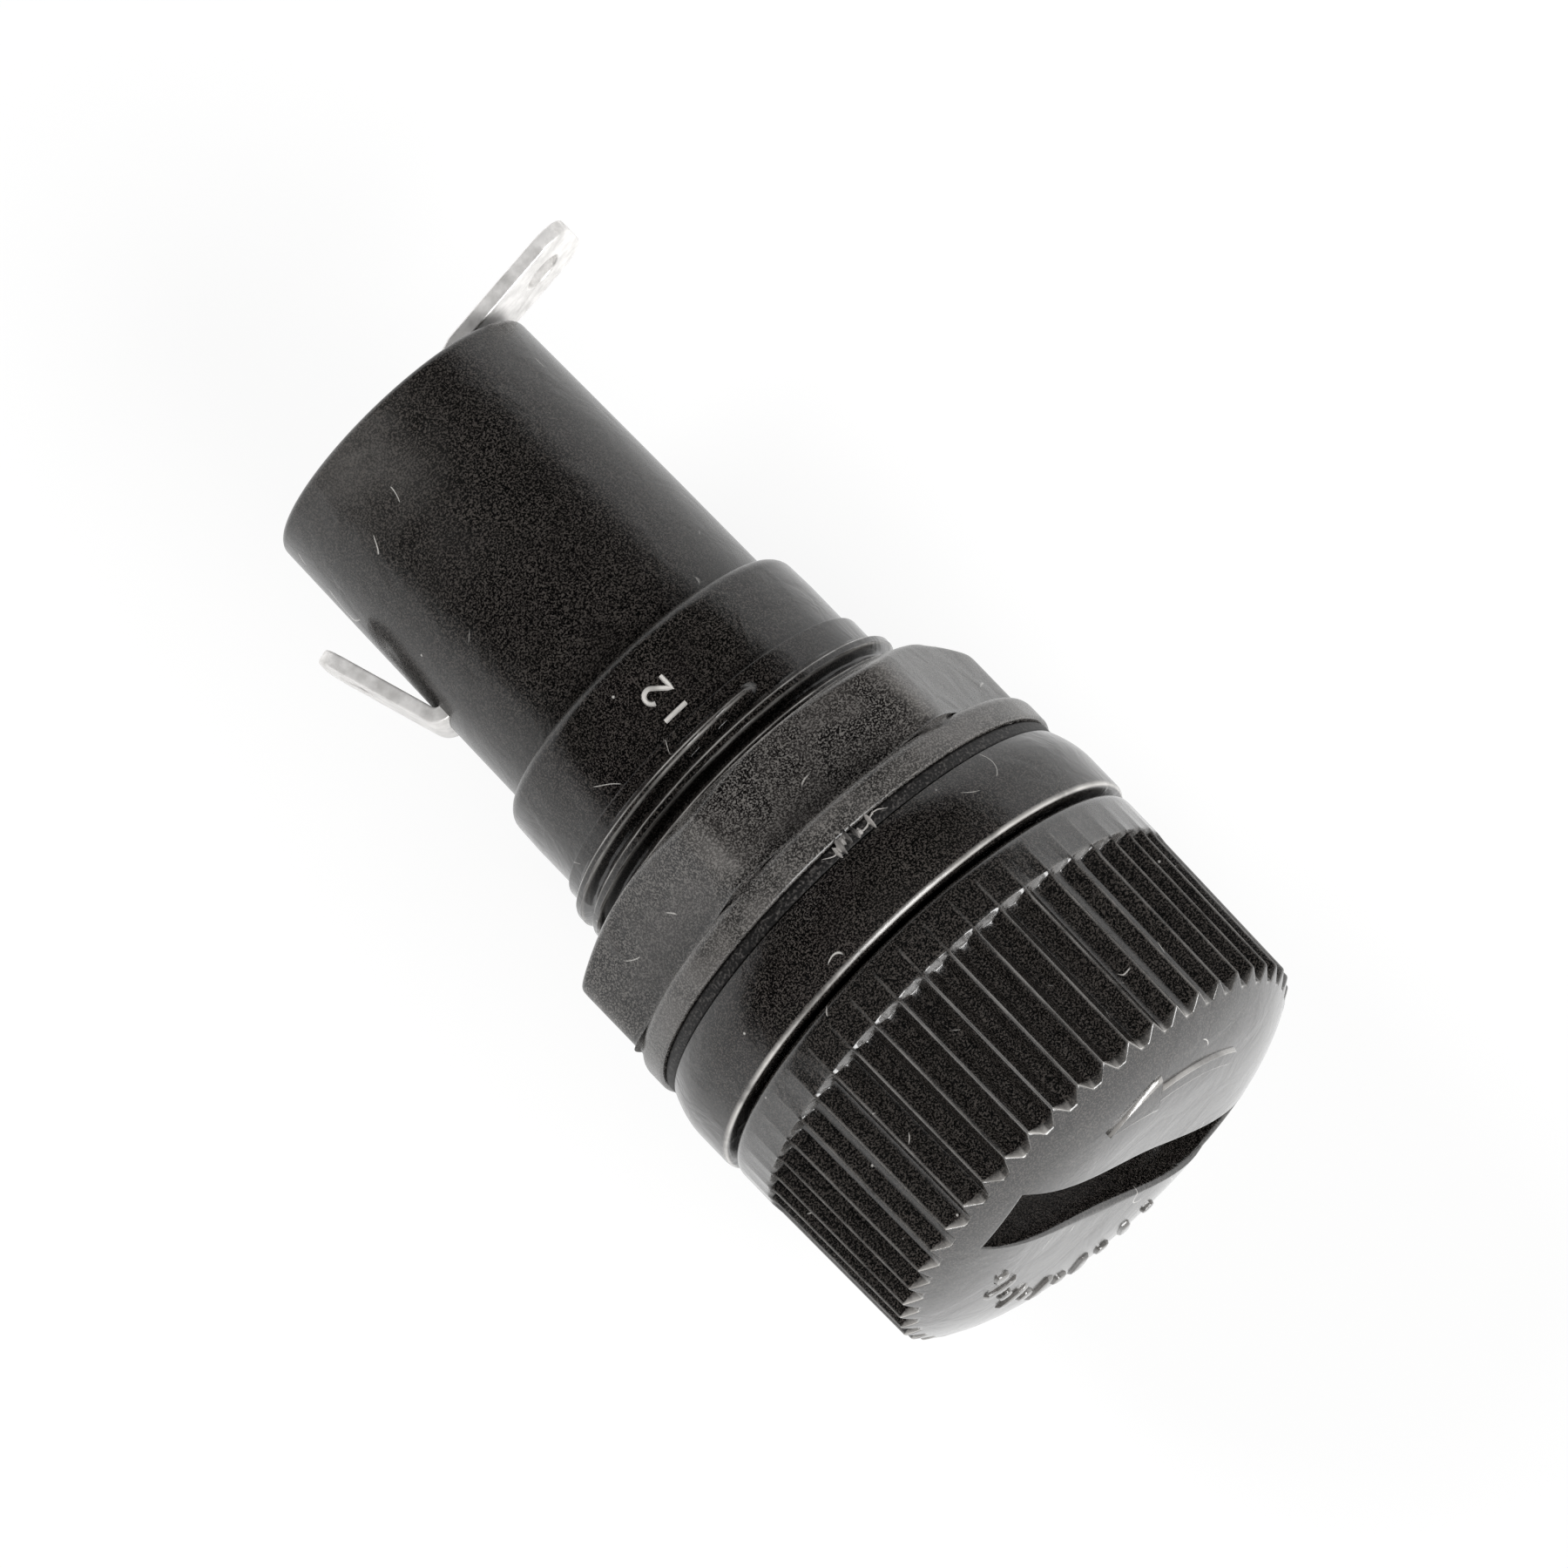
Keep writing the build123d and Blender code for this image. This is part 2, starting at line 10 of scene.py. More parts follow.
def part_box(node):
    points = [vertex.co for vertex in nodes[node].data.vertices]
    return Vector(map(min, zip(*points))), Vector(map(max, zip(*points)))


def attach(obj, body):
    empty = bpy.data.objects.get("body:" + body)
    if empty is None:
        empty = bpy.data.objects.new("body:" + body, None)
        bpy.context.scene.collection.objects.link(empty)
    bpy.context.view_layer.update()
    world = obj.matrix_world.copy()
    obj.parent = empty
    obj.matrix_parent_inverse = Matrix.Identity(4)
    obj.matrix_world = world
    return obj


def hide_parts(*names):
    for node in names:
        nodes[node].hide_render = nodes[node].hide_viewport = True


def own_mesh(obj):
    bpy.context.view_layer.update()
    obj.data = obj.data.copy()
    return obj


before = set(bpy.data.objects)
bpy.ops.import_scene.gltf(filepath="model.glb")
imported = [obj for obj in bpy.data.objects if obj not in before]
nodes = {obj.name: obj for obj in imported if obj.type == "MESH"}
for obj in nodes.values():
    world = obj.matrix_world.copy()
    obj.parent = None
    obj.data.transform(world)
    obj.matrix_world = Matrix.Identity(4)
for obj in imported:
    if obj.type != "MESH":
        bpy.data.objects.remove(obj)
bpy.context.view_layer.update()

# ------------------------------------------------------------------ studio
# The holder lies on a sheet of white paper in a light tent with bright walls and a dark top. One soft
# lamp stands in front of the knob's face, and a second lights the barrel's end through a screen.
FLOOR_LEVEL = -8.32
HALF_SHEET = 1500.0
PAPER = "#fbfbfa"
PAPER_GLOW = 0.89           # share of the paper's own glow in what the lens sees
TENT_FADE = (0.1, 0.42)     # sine of the height at which the tent starts and stops fading
TENT_TOP = 0.02             # strength of the tent's top
VIEW_TILT = 0.234           # sine of the angle between the lens and the vertical
VIEW_RIGHT = (0.719, -0.695)    # the view's right, as shares of +X and of the axis
VIEW_CENTRE = (1.0, 4.85, 0.0)
VIEW_WIDTH = 48.0
LENS_DISTANCE = 2000.0
SENSOR_WIDTH = 36.0


def linear(hex_colour):
    """Turns an sRGB hex colour into linear RGBA by the sRGB curve."""
    parts = np.array([int(hex_colour[i : i + 2], 16) for i in (1, 3, 5)]) / 255
    low = parts / 12.92
    high = ((parts + 0.055) / 1.055) ** 2.4
    return (*np.where(parts <= 0.04045, low, high).tolist(), 1.0)


def add(tree, kind, inputs=None, **settings):
    """Adds a node, applies its settings, and fills its inputs with values or with other outputs."""
    made = tree.nodes.new(kind)
    for name, value in settings.items():
        setattr(made, name, value)
    for name, value in (inputs or {}).items():
        if isinstance(value, bpy.types.NodeSocket):
            tree.links.new(value, made.inputs[name])
        else:
            made.inputs[name].default_value = value
    return made


def blank_material(name):
    """A node material with no nodes yet, and its node tree."""
    material = bpy.data.materials.new(name)
    material.use_nodes = True
    material.node_tree.nodes.clear()
    return material, material.node_tree


def white_paper():
    """Matt white card. What the lens, gloss and glass see of it is mostly its own glow of strength 1 and
    the rest its lit surface, so it reads as white and still takes the holder's shadow."""
    material, tree = blank_material("white_paper")
    path = add(tree, "ShaderNodeLightPath")
    seen = add(tree, "ShaderNodeMath", {0: path.outputs["Is Camera Ray"],
               1: path.outputs["Is Glossy Ray"]}, operation="MAXIMUM")
    seen = add(tree, "ShaderNodeMath", {0: seen.outputs[0], 1: path.outputs["Is Transmission Ray"]},
               operation="MAXIMUM")
    card = add(tree, "ShaderNodeBsdfDiffuse", {"Color": linear(PAPER)})
    glow = add(tree, "ShaderNodeEmission", {"Color": linear("#ffffff"), "Strength": 1.0})
    bright = add(tree, "ShaderNodeMixShader", {0: PAPER_GLOW, 1: card.outputs[0], 2: glow.outputs[0]})
    mixed = add(tree, "ShaderNodeMixShader", {0: seen.outputs[0], 1: card.outputs[0],
                2: bright.outputs[0]})
    add(tree, "ShaderNodeOutputMaterial", {"Surface": mixed.outputs[0]})
    return material


def light_tent():
    """World: white at the horizon, fading with height to a dim grey top."""
    world = bpy.data.worlds.new("light_tent")
    world.use_nodes = True
    tree = world.node_tree
    tree.nodes.clear()
    place = add(tree, "ShaderNodeTexCoord")
    height = add(tree, "ShaderNodeSeparateXYZ", {0: place.outputs["Generated"]})
    fade = add(tree, "ShaderNodeMapRange", {"Value": height.outputs["Z"], "From Min": TENT_FADE[0],
               "From Max": TENT_FADE[1], "To Min": 1.0, "To Max": TENT_TOP},
               interpolation_type="SMOOTHSTEP")
    glow = add(tree, "ShaderNodeBackground", {"Color": fade.outputs[0], "Strength": 1.0})
    add(tree, "ShaderNodeOutputWorld", {"Surface": glow.outputs[0]})
    return world


scene = bpy.context.scene
scene.view_settings.view_transform = "Standard"
scene.world = light_tent()

paper_mesh = bpy.data.meshes.new("paper")
sheet_corners = np.array([(-1, -1, 0), (1, -1, 0), (1, 1, 0), (-1, 1, 0)]) * HALF_SHEET
sheet_corners[:, 2] = FLOOR_LEVEL
paper_mesh.from_pydata((sheet_corners / 1000).tolist(), [], [(0, 1, 2, 3)])
paper = bpy.data.objects.new("paper", paper_mesh)
scene.collection.objects.link(paper)
paper_mesh.materials.append(white_paper())


def soft_lamp(name, place, size, power, mirrored=True):
    """A square area lamp that faces the holder, its place and size in metres. An unmirrored one lights
    the surfaces without a highlight of its own, as a lamp behind a large screen does."""
    lamp = bpy.data.lights.new(name, "AREA")
    lamp.shape = "SQUARE"
    lamp.size = size
    lamp.energy = power
    stand = bpy.data.objects.new(name, lamp)
    scene.collection.objects.link(stand)
    stand.location = place
    aim = Vector((0, 0.005, 0)) - Vector(place)
    stand.rotation_euler = aim.to_track_quat("-Z", "Y").to_euler()
    stand.visible_camera = False
    stand.visible_glossy = mirrored
    return stand


soft_lamp("front_lamp", (0.06, -0.4, 0.27), 0.36, 3.6)
soft_lamp("fill_lamp", (-0.12, 0.38, 0.33), 0.24, 2.1, mirrored=False)

to_lens = Vector((0.0, -VIEW_TILT, (1 - VIEW_TILT**2) ** 0.5))
along = Vector((0.0, to_lens.z, VIEW_TILT))      # the axis as the lens sees it
right = (VIEW_RIGHT[0] * Vector((1, 0, 0)) + VIEW_RIGHT[1] * along).normalized()
up = to_lens.cross(right)
lens = bpy.data.cameras.new("lens")
lens.sensor_width = SENSOR_WIDTH
lens.lens = SENSOR_WIDTH * LENS_DISTANCE / VIEW_WIDTH
lens.clip_start = 0.01      # metres, as is clip_end
lens.clip_end = 10
camera = bpy.data.objects.new("lens", lens)
scene.collection.objects.link(camera)
turn = Matrix((right, up, to_lens)).transposed()
lens_place = Vector(VIEW_CENTRE) + to_lens * LENS_DISTANCE
camera.matrix_world = Matrix.Translation(lens_place / 1000) @ turn.to_4x4()
scene.camera = camera

# ------------------------------------------------------------------ moulded body
# Flange, threaded neck, collar and barrel are one moulding in black phenolic. The tool leaves a fine
# satin texture, a drafted barrel and a small raised cavity number.
FLANGE_RADIUS = 8.3
FLANGE_FRONT = -2.65
FLANGE_SHOULDER = 1.25      # how far in front of the gasket the flange's rear edge starts to round
FLANGE_CURL = 0.55          # power that gives the rounding its fullness
SEAT_RADIUS = 8.0           # where that rounding meets the gasket
MOUTH_RADIUS = 4.9
MOUTH_END = 0.58
SLEEVE_BORE = 4.25
SLEEVE_END = 4.8
BORE_RADIUS = 3.7
BORE_FLOOR = 20.2
RIVET_HOLE = 0.92
THREAD_RADIUS = 6.33
THREAD_DEPTH = 0.34
THREAD_PITCH = 0.75
THREAD_START_ANGLE = 24.0   # where the rearmost ridge begins, from +Z towards +X
THREAD_LAST_CREST = 6.4
THREAD_CREST = 0.14         # half of the crest's width, as a share of the pitch
THREAD_FLANK = 0.3          # width of a ridge's side, as a share of the pitch
THREAD_RUN_OUT = 0.3        # share of a turn over which the last crest widens
THREAD_ENTRY = 0.012        # share of a turn over which the last ridge rises
THREAD_END = 7.0
NUT_COVER = 3.5             # the nut hides the thread up to here
COLLAR_RADIUS = 5.8
COLLAR_END = 10.05
BARREL_RADIUS = 5.16
BARREL_REAR_RADIUS = 5.01
BARREL_END = 21.2
DUST = "#d2cfca"
# The pale colour in which highlights are painted on edges and raised details.
HIGHLIGHT_PAINT = "#c4c1bd"


def rounded(corners, steps=5):
    """A (radius, station) outline from corners (radius, station, rounding): each corner with a rounding
    is replaced by points on the circle that touches both of its sides."""
    points = []
    count = len(corners)
    for i, (r, y, size) in enumerate(corners):
        corner = np.array([r, y], float)
        if size <= 0:
            points.append(corner[None])
            continue
        before = np.array(corners[i - 1][:2], float) - corner
        after = np.array(corners[(i + 1) % count][:2], float) - corner
        before /= np.linalg.norm(before)
        after /= np.linalg.norm(after)
        half = np.arccos(np.clip(before @ after, -1, 1)) / 2
        reach = size / np.tan(half)
        middle = corner + (before + after) / np.linalg.norm(before + after) * size / np.sin(half)
        first = corner + before * reach - middle
        last = corner + after * reach - middle
        angle = np.arctan2(first[0] * last[1] - first[1] * last[0], first @ last)
        turns = np.linspace(0, angle, steps)
        c, s = np.cos(turns), np.sin(turns)
        points.append(middle + np.stack([first[0] * c - first[1] * s, first[0] * s + first[1] * c], 1))
    return np.concatenate(points)


def lathed(outline, columns):
    """Radius and station arrays, rows by columns, of an outline turned about the Y axis."""
    radius = np.repeat(outline[:, :1], columns, 1)
    station = np.repeat(outline[:, 1:2], columns, 1)
    return radius, station


def around_axis(radius, station, angle):
    """Points at radius * (cos, sin) of the angle from +X towards +Z, at each station along Y."""
    return np.stack([radius * np.cos(angle), station, radius * np.sin(angle)], -1)


def weld(mesh):
    """Merges points that coincide, such as those at a pole, and drops the faces that vanish. The
    distances are in metres."""
    work = bmesh.new()
    work.from_mesh(mesh)
    bmesh.ops.remove_doubles(work, verts=work.verts, dist=2e-7)
    bmesh.ops.dissolve_degenerate(work, edges=work.edges, dist=1e-7)
    work.to_mesh(mesh)
    work.free()


def surface(name, points, material, wrap_rows=False, wrap_columns=True, sharp=38.0, marks=None):
    """Joins a rows-by-columns array of points into quads, closes it on itself where asked, merges
    poles, and turns the faces outwards by the sign of the enclosed volume. Marks are named
    numbers from 0 to 1 at each point, which the mesh keeps for its material."""
    rows, columns = points.shape[:2]
    index = np.arange(rows * columns).reshape(rows, columns)
    if wrap_rows:
        index = np.concatenate([index, index[:1]])
    if wrap_columns:
        index = np.concatenate([index, index[:, :1]], 1)
    quads = np.stack([index[:-1, :-1], index[:-1, 1:], index[1:, 1:], index[1:, :-1]], -1).reshape(-1, 4)
    flat = points.reshape(-1, 3) / 1000
    a, b, c, d = (flat[quads[:, k]] for k in range(4))
    volume = np.einsum("ij,ij->i", np.cross(a, b), c).sum() + np.einsum("ij,ij->i", np.cross(a, c), d).sum()
    if volume < 0:
        quads = quads[:, ::-1]
    mesh = bpy.data.meshes.new(name)
    mesh.vertices.add(len(flat))
    mesh.vertices.foreach_set("co", flat.ravel())
    mesh.loops.add(quads.size)
    mesh.loops.foreach_set("vertex_index", quads.ravel())
    mesh.polygons.add(len(quads))
    mesh.polygons.foreach_set("loop_start", np.arange(len(quads)) * 4)
    mesh.polygons.foreach_set("loop_total", np.full(len(quads), 4))
    for mark, amount in (marks or {}).items():
        kept = mesh.attributes.new(mark, "FLOAT", "POINT")
        kept.data.foreach_set("value", np.broadcast_to(amount, (rows, columns)).astype(np.float32).ravel())
    mesh.update(calc_edges=True)
    mesh.validate()
    weld(mesh)
    mesh.polygons.foreach_set("use_smooth", np.ones(len(mesh.polygons), bool))
    mesh.set_sharp_from_angle(angle=np.radians(sharp))
    mesh.materials.append(material)
    piece = bpy.data.objects.new(name, mesh)
    scene.collection.objects.link(piece)
    return piece


def moulded_plastic(name, dark, speck, cloud, roughness, cloud_share, skin=0.0, satin_extra=0.14,
                    ior=1.47):
    """Black moulded plastic. Its grain shows as pale specks in the black and breaks up what the gloss
    reflects. The real grain is finer and is drawn at 0.06 mm, so that it shows. Slow swirls of a
    millimetre or two are where the melt met the tool, and the surface waves a little with them. Grey
    dust lies on it in dots and short hairs. The mesh attribute painted_highlight marks edges and raised
    details where a highlight is painted in as a paler colour, and satin marks where the tool was left
    rougher, by satin_extra. Skin is how much of a glassy resin skin lies over it."""
    material, tree = blank_material(name)
    place = add(tree, "ShaderNodeTexCoord").outputs["Object"]
    grain = add(tree, "ShaderNodeTexNoise", {"Vector": place, "Scale": 1000 / 0.06, "Detail": 2.0,
                "Roughness": 0.6})
    swirl = add(tree, "ShaderNodeTexNoise", {"Vector": place, "Scale": 1000 / 1.7, "Detail": 3.0,
                "Roughness": 0.55, "Distortion": 0.6})
    pale = add(tree, "ShaderNodeMapRange", {"Value": grain.outputs["Fac"], "From Min": 0.47,
               "From Max": 0.62})
    colour = add(tree, "ShaderNodeMix", {"Factor": pale.outputs[0], "A": linear(dark), "B": linear(speck)},
                 data_type="RGBA")
    cloudy = add(tree, "ShaderNodeMapRange", {"Value": swirl.outputs["Fac"], "From Min": 0.42,
                 "From Max": 0.68, "To Max": cloud_share})
    colour = add(tree, "ShaderNodeMix", {"Factor": cloudy.outputs[0], "A": colour.outputs["Result"],
                 "B": linear(cloud)}, data_type="RGBA")
    # Dust: one dot in some of the cells of a 0.85 mm lattice.
    cells = add(tree, "ShaderNodeTexVoronoi", {"Vector": place, "Scale": 1000 / 0.85})
    dot = add(tree, "ShaderNodeMapRange", {"Value": cells.outputs["Distance"], "From Min": 0.03,
              "From Max": 0.07, "To Min": 1.0, "To Max": 0.0})
    chance = add(tree, "ShaderNodeSeparateColor", {"Color": cells.outputs["Color"]})
    chosen = add(tree, "ShaderNodeMath", {0: chance.outputs[0], 1: 0.88}, operation="GREATER_THAN")
    dots = add(tree, "ShaderNodeMath", {0: dot.outputs[0], 1: chosen.outputs[0]}, operation="MULTIPLY")
    # Hairs: the level line of a slow noise, kept only where a second noise is high.
    path = add(tree, "ShaderNodeTexNoise", {"Vector": place, "Scale": 1000 / 2.4, "Detail": 0.0})
    off_line = add(tree, "ShaderNodeMath", {0: path.outputs["Fac"], 1: 0.47}, operation="SUBTRACT")
    off_line = add(tree, "ShaderNodeMath", {0: off_line.outputs[0]}, operation="ABSOLUTE")
    hair = add(tree, "ShaderNodeMapRange", {"Value": off_line.outputs[0], "From Min": 0.002,
               "From Max": 0.006, "To Min": 1.0, "To Max": 0.0})
    patch = add(tree, "ShaderNodeTexNoise", {"Vector": place, "Scale": 1000 / 1.1, "Detail": 0.0})
    kept = add(tree, "ShaderNodeMapRange", {"Value": patch.outputs["Fac"], "From Min": 0.71,
               "From Max": 0.75})
    hairs = add(tree, "ShaderNodeMath", {0: hair.outputs[0], 1: kept.outputs[0]}, operation="MULTIPLY")
    amount = add(tree, "ShaderNodeMath", {0: dots.outputs[0], 1: hairs.outputs[0]}, operation="MAXIMUM")
    amount = add(tree, "ShaderNodeMath", {0: amount.outputs[0], 1: 0.6}, operation="MULTIPLY")
    colour = add(tree, "ShaderNodeMix", {"Factor": amount.outputs[0], "A": colour.outputs["Result"],
                 "B": linear(DUST)}, data_type="RGBA")
    # Painted highlights on edges: broken up by the swirls, so that no edge is an even line.
    painted_glint = add(tree, "ShaderNodeAttribute", attribute_name="painted_highlight").outputs["Fac"]
    patchy = add(tree, "ShaderNodeMapRange", {"Value": swirl.outputs["Fac"], "From Min": 0.3,
                 "From Max": 0.62, "To Min": 0.25})
    painted_glint = add(tree, "ShaderNodeMath", {0: painted_glint, 1: patchy.outputs[0]}, operation="MULTIPLY")
    colour = add(tree, "ShaderNodeMix", {"Factor": painted_glint.outputs[0], "A": colour.outputs["Result"],
                 "B": linear(HIGHLIGHT_PAINT)}, data_type="RGBA")
    gloss = add(tree, "ShaderNodeMapRange", {"Value": grain.outputs["Fac"], "From Min": 0.3,
                "From Max": 0.7, "To Min": roughness[0], "To Max": roughness[1]})
    satin = add(tree, "ShaderNodeAttribute", attribute_name="satin").outputs["Fac"]
    gloss = add(tree, "ShaderNodeMath", {0: satin, 1: satin_extra, 2: gloss.outputs[0]},
                operation="MULTIPLY_ADD")
    wave = add(tree, "ShaderNodeBump", {"Height": swirl.outputs["Fac"], "Strength": 0.8,
               "Distance": 0.00009})
    bump = add(tree, "ShaderNodeBump", {"Height": grain.outputs["Fac"], "Strength": 0.4,
               "Distance": 0.000012, "Normal": wave.outputs[0]})
    shader = add(tree, "ShaderNodeBsdfPrincipled", {"Base Color": colour.outputs["Result"],
                 "Roughness": gloss.outputs[0], "IOR": ior, "Coat Weight": skin, "Coat Roughness": 0.1,
                 "Normal": bump.outputs[0]})
    add(tree, "ShaderNodeOutputMaterial", {"Surface": shader.outputs[0]})
    return material


body_plastic = moulded_plastic("body_phenolic", "#010101", "#403c39", "#131110", (0.12, 0.24),
                               cloud_share=0.3, skin=0.2, satin_extra=0.1)
columns = 288               # around the axis
angle = np.linspace(0, 2 * np.pi, columns, endpoint=False)

# The outline in four stretches: flange front, flange rear, neck, and then collar, barrel and bore. The
# last corner of the first stretch only guides the rounding before it.
front = rounded([
    (MOUTH_RADIUS, FLANGE_FRONT, 0.05),
    (FLANGE_RADIUS, FLANGE_FRONT, 0.2),
    (FLANGE_RADIUS, -FLANGE_SHOULDER - 0.05, 0),
])[:-1]
bulge = np.sin(np.linspace(0, np.pi / 2, 9)[::-1])
flange_curve = np.stack([SEAT_RADIUS + (FLANGE_RADIUS - SEAT_RADIUS) * bulge,
                         -FLANGE_SHOULDER + FLANGE_SHOULDER * (1 - bulge) ** FLANGE_CURL], 1)
hidden_rows = np.arange(0.05, NUT_COVER, THREAD_PITCH / 10)
open_rows = np.arange(NUT_COVER, THREAD_END - 0.02, THREAD_PITCH / 22)
neck_rows = np.concatenate([hidden_rows, open_rows])
neck = np.stack([np.full(len(neck_rows), THREAD_RADIUS - THREAD_DEPTH), neck_rows], 1)
rear = rounded([
    (THREAD_RADIUS - THREAD_DEPTH, THREAD_END, 0.02),
    (COLLAR_RADIUS, THREAD_END + 0.06, 0.02),
    (COLLAR_RADIUS, 8.7, 0),
    (COLLAR_RADIUS - 0.06, COLLAR_END, 0.48),
    (BARREL_RADIUS, COLLAR_END + 0.04, 0.06),
    (BARREL_RADIUS - 0.04, 14.0, 0),
    (BARREL_RADIUS - 0.09, 17.6, 0),
    (BARREL_REAR_RADIUS, BARREL_END, 0.26),
    (RIVET_HOLE, BARREL_END, 0),
    (RIVET_HOLE, BORE_FLOOR, 0),
    (BORE_RADIUS, BORE_FLOOR, 0.1),
    (BORE_RADIUS, SLEEVE_END, 0),
    (SLEEVE_BORE, SLEEVE_END, 0),
    (SLEEVE_BORE, MOUTH_END, 0),
    (MOUTH_RADIUS, MOUTH_END, 0),
], steps=8)
outline = np.concatenate([front, flange_curve, neck, rear])
radius, station = lathed(outline, columns)

# The thread is a helix: counted in pitches from the last crest, a point's station less its share of a
# turn is whole on a crest, and what it is off by sets the ridge's height. The last ridge rises at
# once, and its crest then widens over part of a turn.
turn_back = np.mod(np.radians(THREAD_START_ANGLE) - (np.pi / 2 - angle), 2 * np.pi) / (2 * np.pi)
neck_start = len(front) + len(flange_curve)
on_neck = slice(neck_start, neck_start + len(neck))
winding = (THREAD_LAST_CREST - station[on_neck]) / THREAD_PITCH - turn_back
turn_number = np.maximum(np.round(winding), 0)
last_turn = turn_number == 0
widening = np.where(last_turn, np.clip(0.15 + turn_back / THREAD_RUN_OUT, 0, 1), 1.0)
rising = np.where(last_turn, np.clip(turn_back / THREAD_ENTRY, 0, 1), 1.0)
half_crest = THREAD_CREST * widening
from_crest = np.abs(winding - turn_number)
ridge = np.clip((half_crest + THREAD_FLANK - from_crest) / THREAD_FLANK, 0, 1) * rising
radius[on_neck] += THREAD_DEPTH * ridge

# Painted highlights, laid in as a paler colour: along the edge of each thread crest, along the flange's
# front edge, and a glint near the barrel's rear end. The tool was left rougher behind the collar.
painted_highlight = np.zeros_like(radius)
crest_edge = np.exp(-(((from_crest - half_crest - 0.03) / 0.035) ** 2))
painted_highlight[on_neck] = 0.9 * np.where(last_turn, np.clip(turn_back / 0.05, 0, 1), 1) * crest_edge
painted_highlight[: len(front)] = np.exp(-(((outline[: len(front), 1:] - FLANGE_FRONT - 0.07) / 0.06) ** 2))
painted_highlight[: len(front)] *= outline[: len(front), :1] > FLANGE_RADIUS - 0.12
from_glint_spot = ((station - 20.2) / 1.9) ** 2 + ((angle - np.radians(108)) / 0.38) ** 2
painted_highlight += 0.15 * np.exp(-from_glint_spot) * (radius > BORE_RADIUS + 0.3)
satin = np.clip((station - COLLAR_END + 0.5) / 0.3, 0, 1)
body = surface("moulded_body", around_axis(radius, station, angle), body_plastic, wrap_rows=True,
               marks={"painted_highlight": painted_highlight, "satin": satin})
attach(body, "holder")
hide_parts("holder_body")

# Cavity number on the collar: two plain digits cut into the tool, so they stand up a little.
DIGIT_HEIGHT = 0.87
DIGIT_MIDDLE = 0.15         # from the top of the collar towards +X
DIGIT_STROKE = 0.17
DIGIT_RELIEF = 0.08


def raised_line(name, path, material):
    """A raised line on the collar. The path is points of (station, height towards -X as a share of the
    digit's), and the section, a low bar with sloping sides, is carried along the path square to it, with
    the distance towards +X laid round the collar as an angle."""
    path = np.asarray(path, float)
    path = np.stack([DIGIT_MIDDLE - path[:, 1] * DIGIT_HEIGHT, path[:, 0]], 1)
    step = np.gradient(path, axis=0)
    step /= np.linalg.norm(step, axis=1)[:, None]
    side = np.stack([-step[:, 1], step[:, 0]], 1)
    across = np.array([-0.5, -0.26, 0.26, 0.5, 0.4, -0.4]) * DIGIT_STROKE
    height = np.array([0.0, 1.0, 1.0, 0.0, -1.2, -1.2]) * DIGIT_RELIEF
    place = path[:, None] + side[:, None] * across[None, :, None]
    ring_radius = COLLAR_RADIUS + np.broadcast_to(height, place.shape[:2])
    around = place[..., 0] / COLLAR_RADIUS
    bar = np.stack([ring_radius * np.sin(around), place[..., 1], ring_radius * np.cos(around)], -1)
    start = bar[:1].mean(1, keepdims=True).repeat(len(across), 1)
    end = bar[-1:].mean(1, keepdims=True).repeat(len(across), 1)
    # The whole line is painted paler, a painted highlight on the raised digit.
    line = surface(name, np.concatenate([start, bar, end]), material, marks={"painted_highlight": 1.0})
    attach(line, "holder")
    return line


upright = np.linspace([7.45, -0.5], [7.45, 0.5], 6)
bow_angle = np.radians(np.linspace(165, -35, 14))
bow = np.stack([8.32 + 0.25 * np.cos(bow_angle), 0.22 + 0.28 * np.sin(bow_angle)], 1)
foot = np.linspace([8.08, -0.5], [8.6, -0.5], 5)
slope = np.linspace(bow[-1], foot[0], 6)[1:-1]
raised_line("cavity_digit_one", upright, body_plastic)
raised_line("cavity_digit_two", np.concatenate([bow, slope, foot]), body_plastic)

# ------------------------------------------------------------------ panel gasket
# A flat ring stamped from black rubber. The nut squeezes it against the flange, so its rim bulges
# unevenly and a ragged bead of rubber stands up on one side.
GASKET_BORE = 6.42
GASKET_RADIUS = 7.95
GASKET_THICK = 0.52
GASKET_BULGE = 0.04

# Matt vulcanised rubber: a fine grain, drawn at 0.09 mm so that it shows, and a painted highlight, a pale
# tone patchy over a millimetre, where the painted_highlight mark is set; only the flash has it.
gasket_rubber, tree = blank_material("gasket_rubber")
place = add(tree, "ShaderNodeTexCoord").outputs["Object"]
grain = add(tree, "ShaderNodeTexNoise", {"Vector": place, "Scale": 1000 / 0.09, "Detail": 2.0})
bloom = add(tree, "ShaderNodeTexNoise", {"Vector": place, "Scale": 1000 / 0.9, "Detail": 3.0})
pale = add(tree, "ShaderNodeMapRange", {"Value": grain.outputs["Fac"], "From Min": 0.5, "From Max": 0.75})
tone = add(tree, "ShaderNodeMix", {"Factor": pale.outputs[0], "A": linear("#070606"),
           "B": linear("#4e4b49")}, data_type="RGBA")
painted_glint = add(tree, "ShaderNodeAttribute", attribute_name="painted_highlight").outputs["Fac"]
patchy = add(tree, "ShaderNodeMapRange", {"Value": bloom.outputs["Fac"], "From Min": 0.35, "From Max": 0.6})
painted_glint = add(tree, "ShaderNodeMath", {0: painted_glint, 1: patchy.outputs[0]}, operation="MULTIPLY")
tone = add(tree, "ShaderNodeMix", {"Factor": painted_glint.outputs[0], "A": tone.outputs["Result"],
           "B": linear("#bdb9b5")}, data_type="RGBA")
bump = add(tree, "ShaderNodeBump", {"Height": grain.outputs["Fac"], "Strength": 0.6, "Distance": 0.00003})
shader = add(tree, "ShaderNodeBsdfPrincipled", {"Base Color": tone.outputs["Result"], "Roughness": 0.6,
             "IOR": 1.5, "Normal": bump.outputs[0]})
add(tree, "ShaderNodeOutputMaterial", {"Surface": shader.outputs[0]})

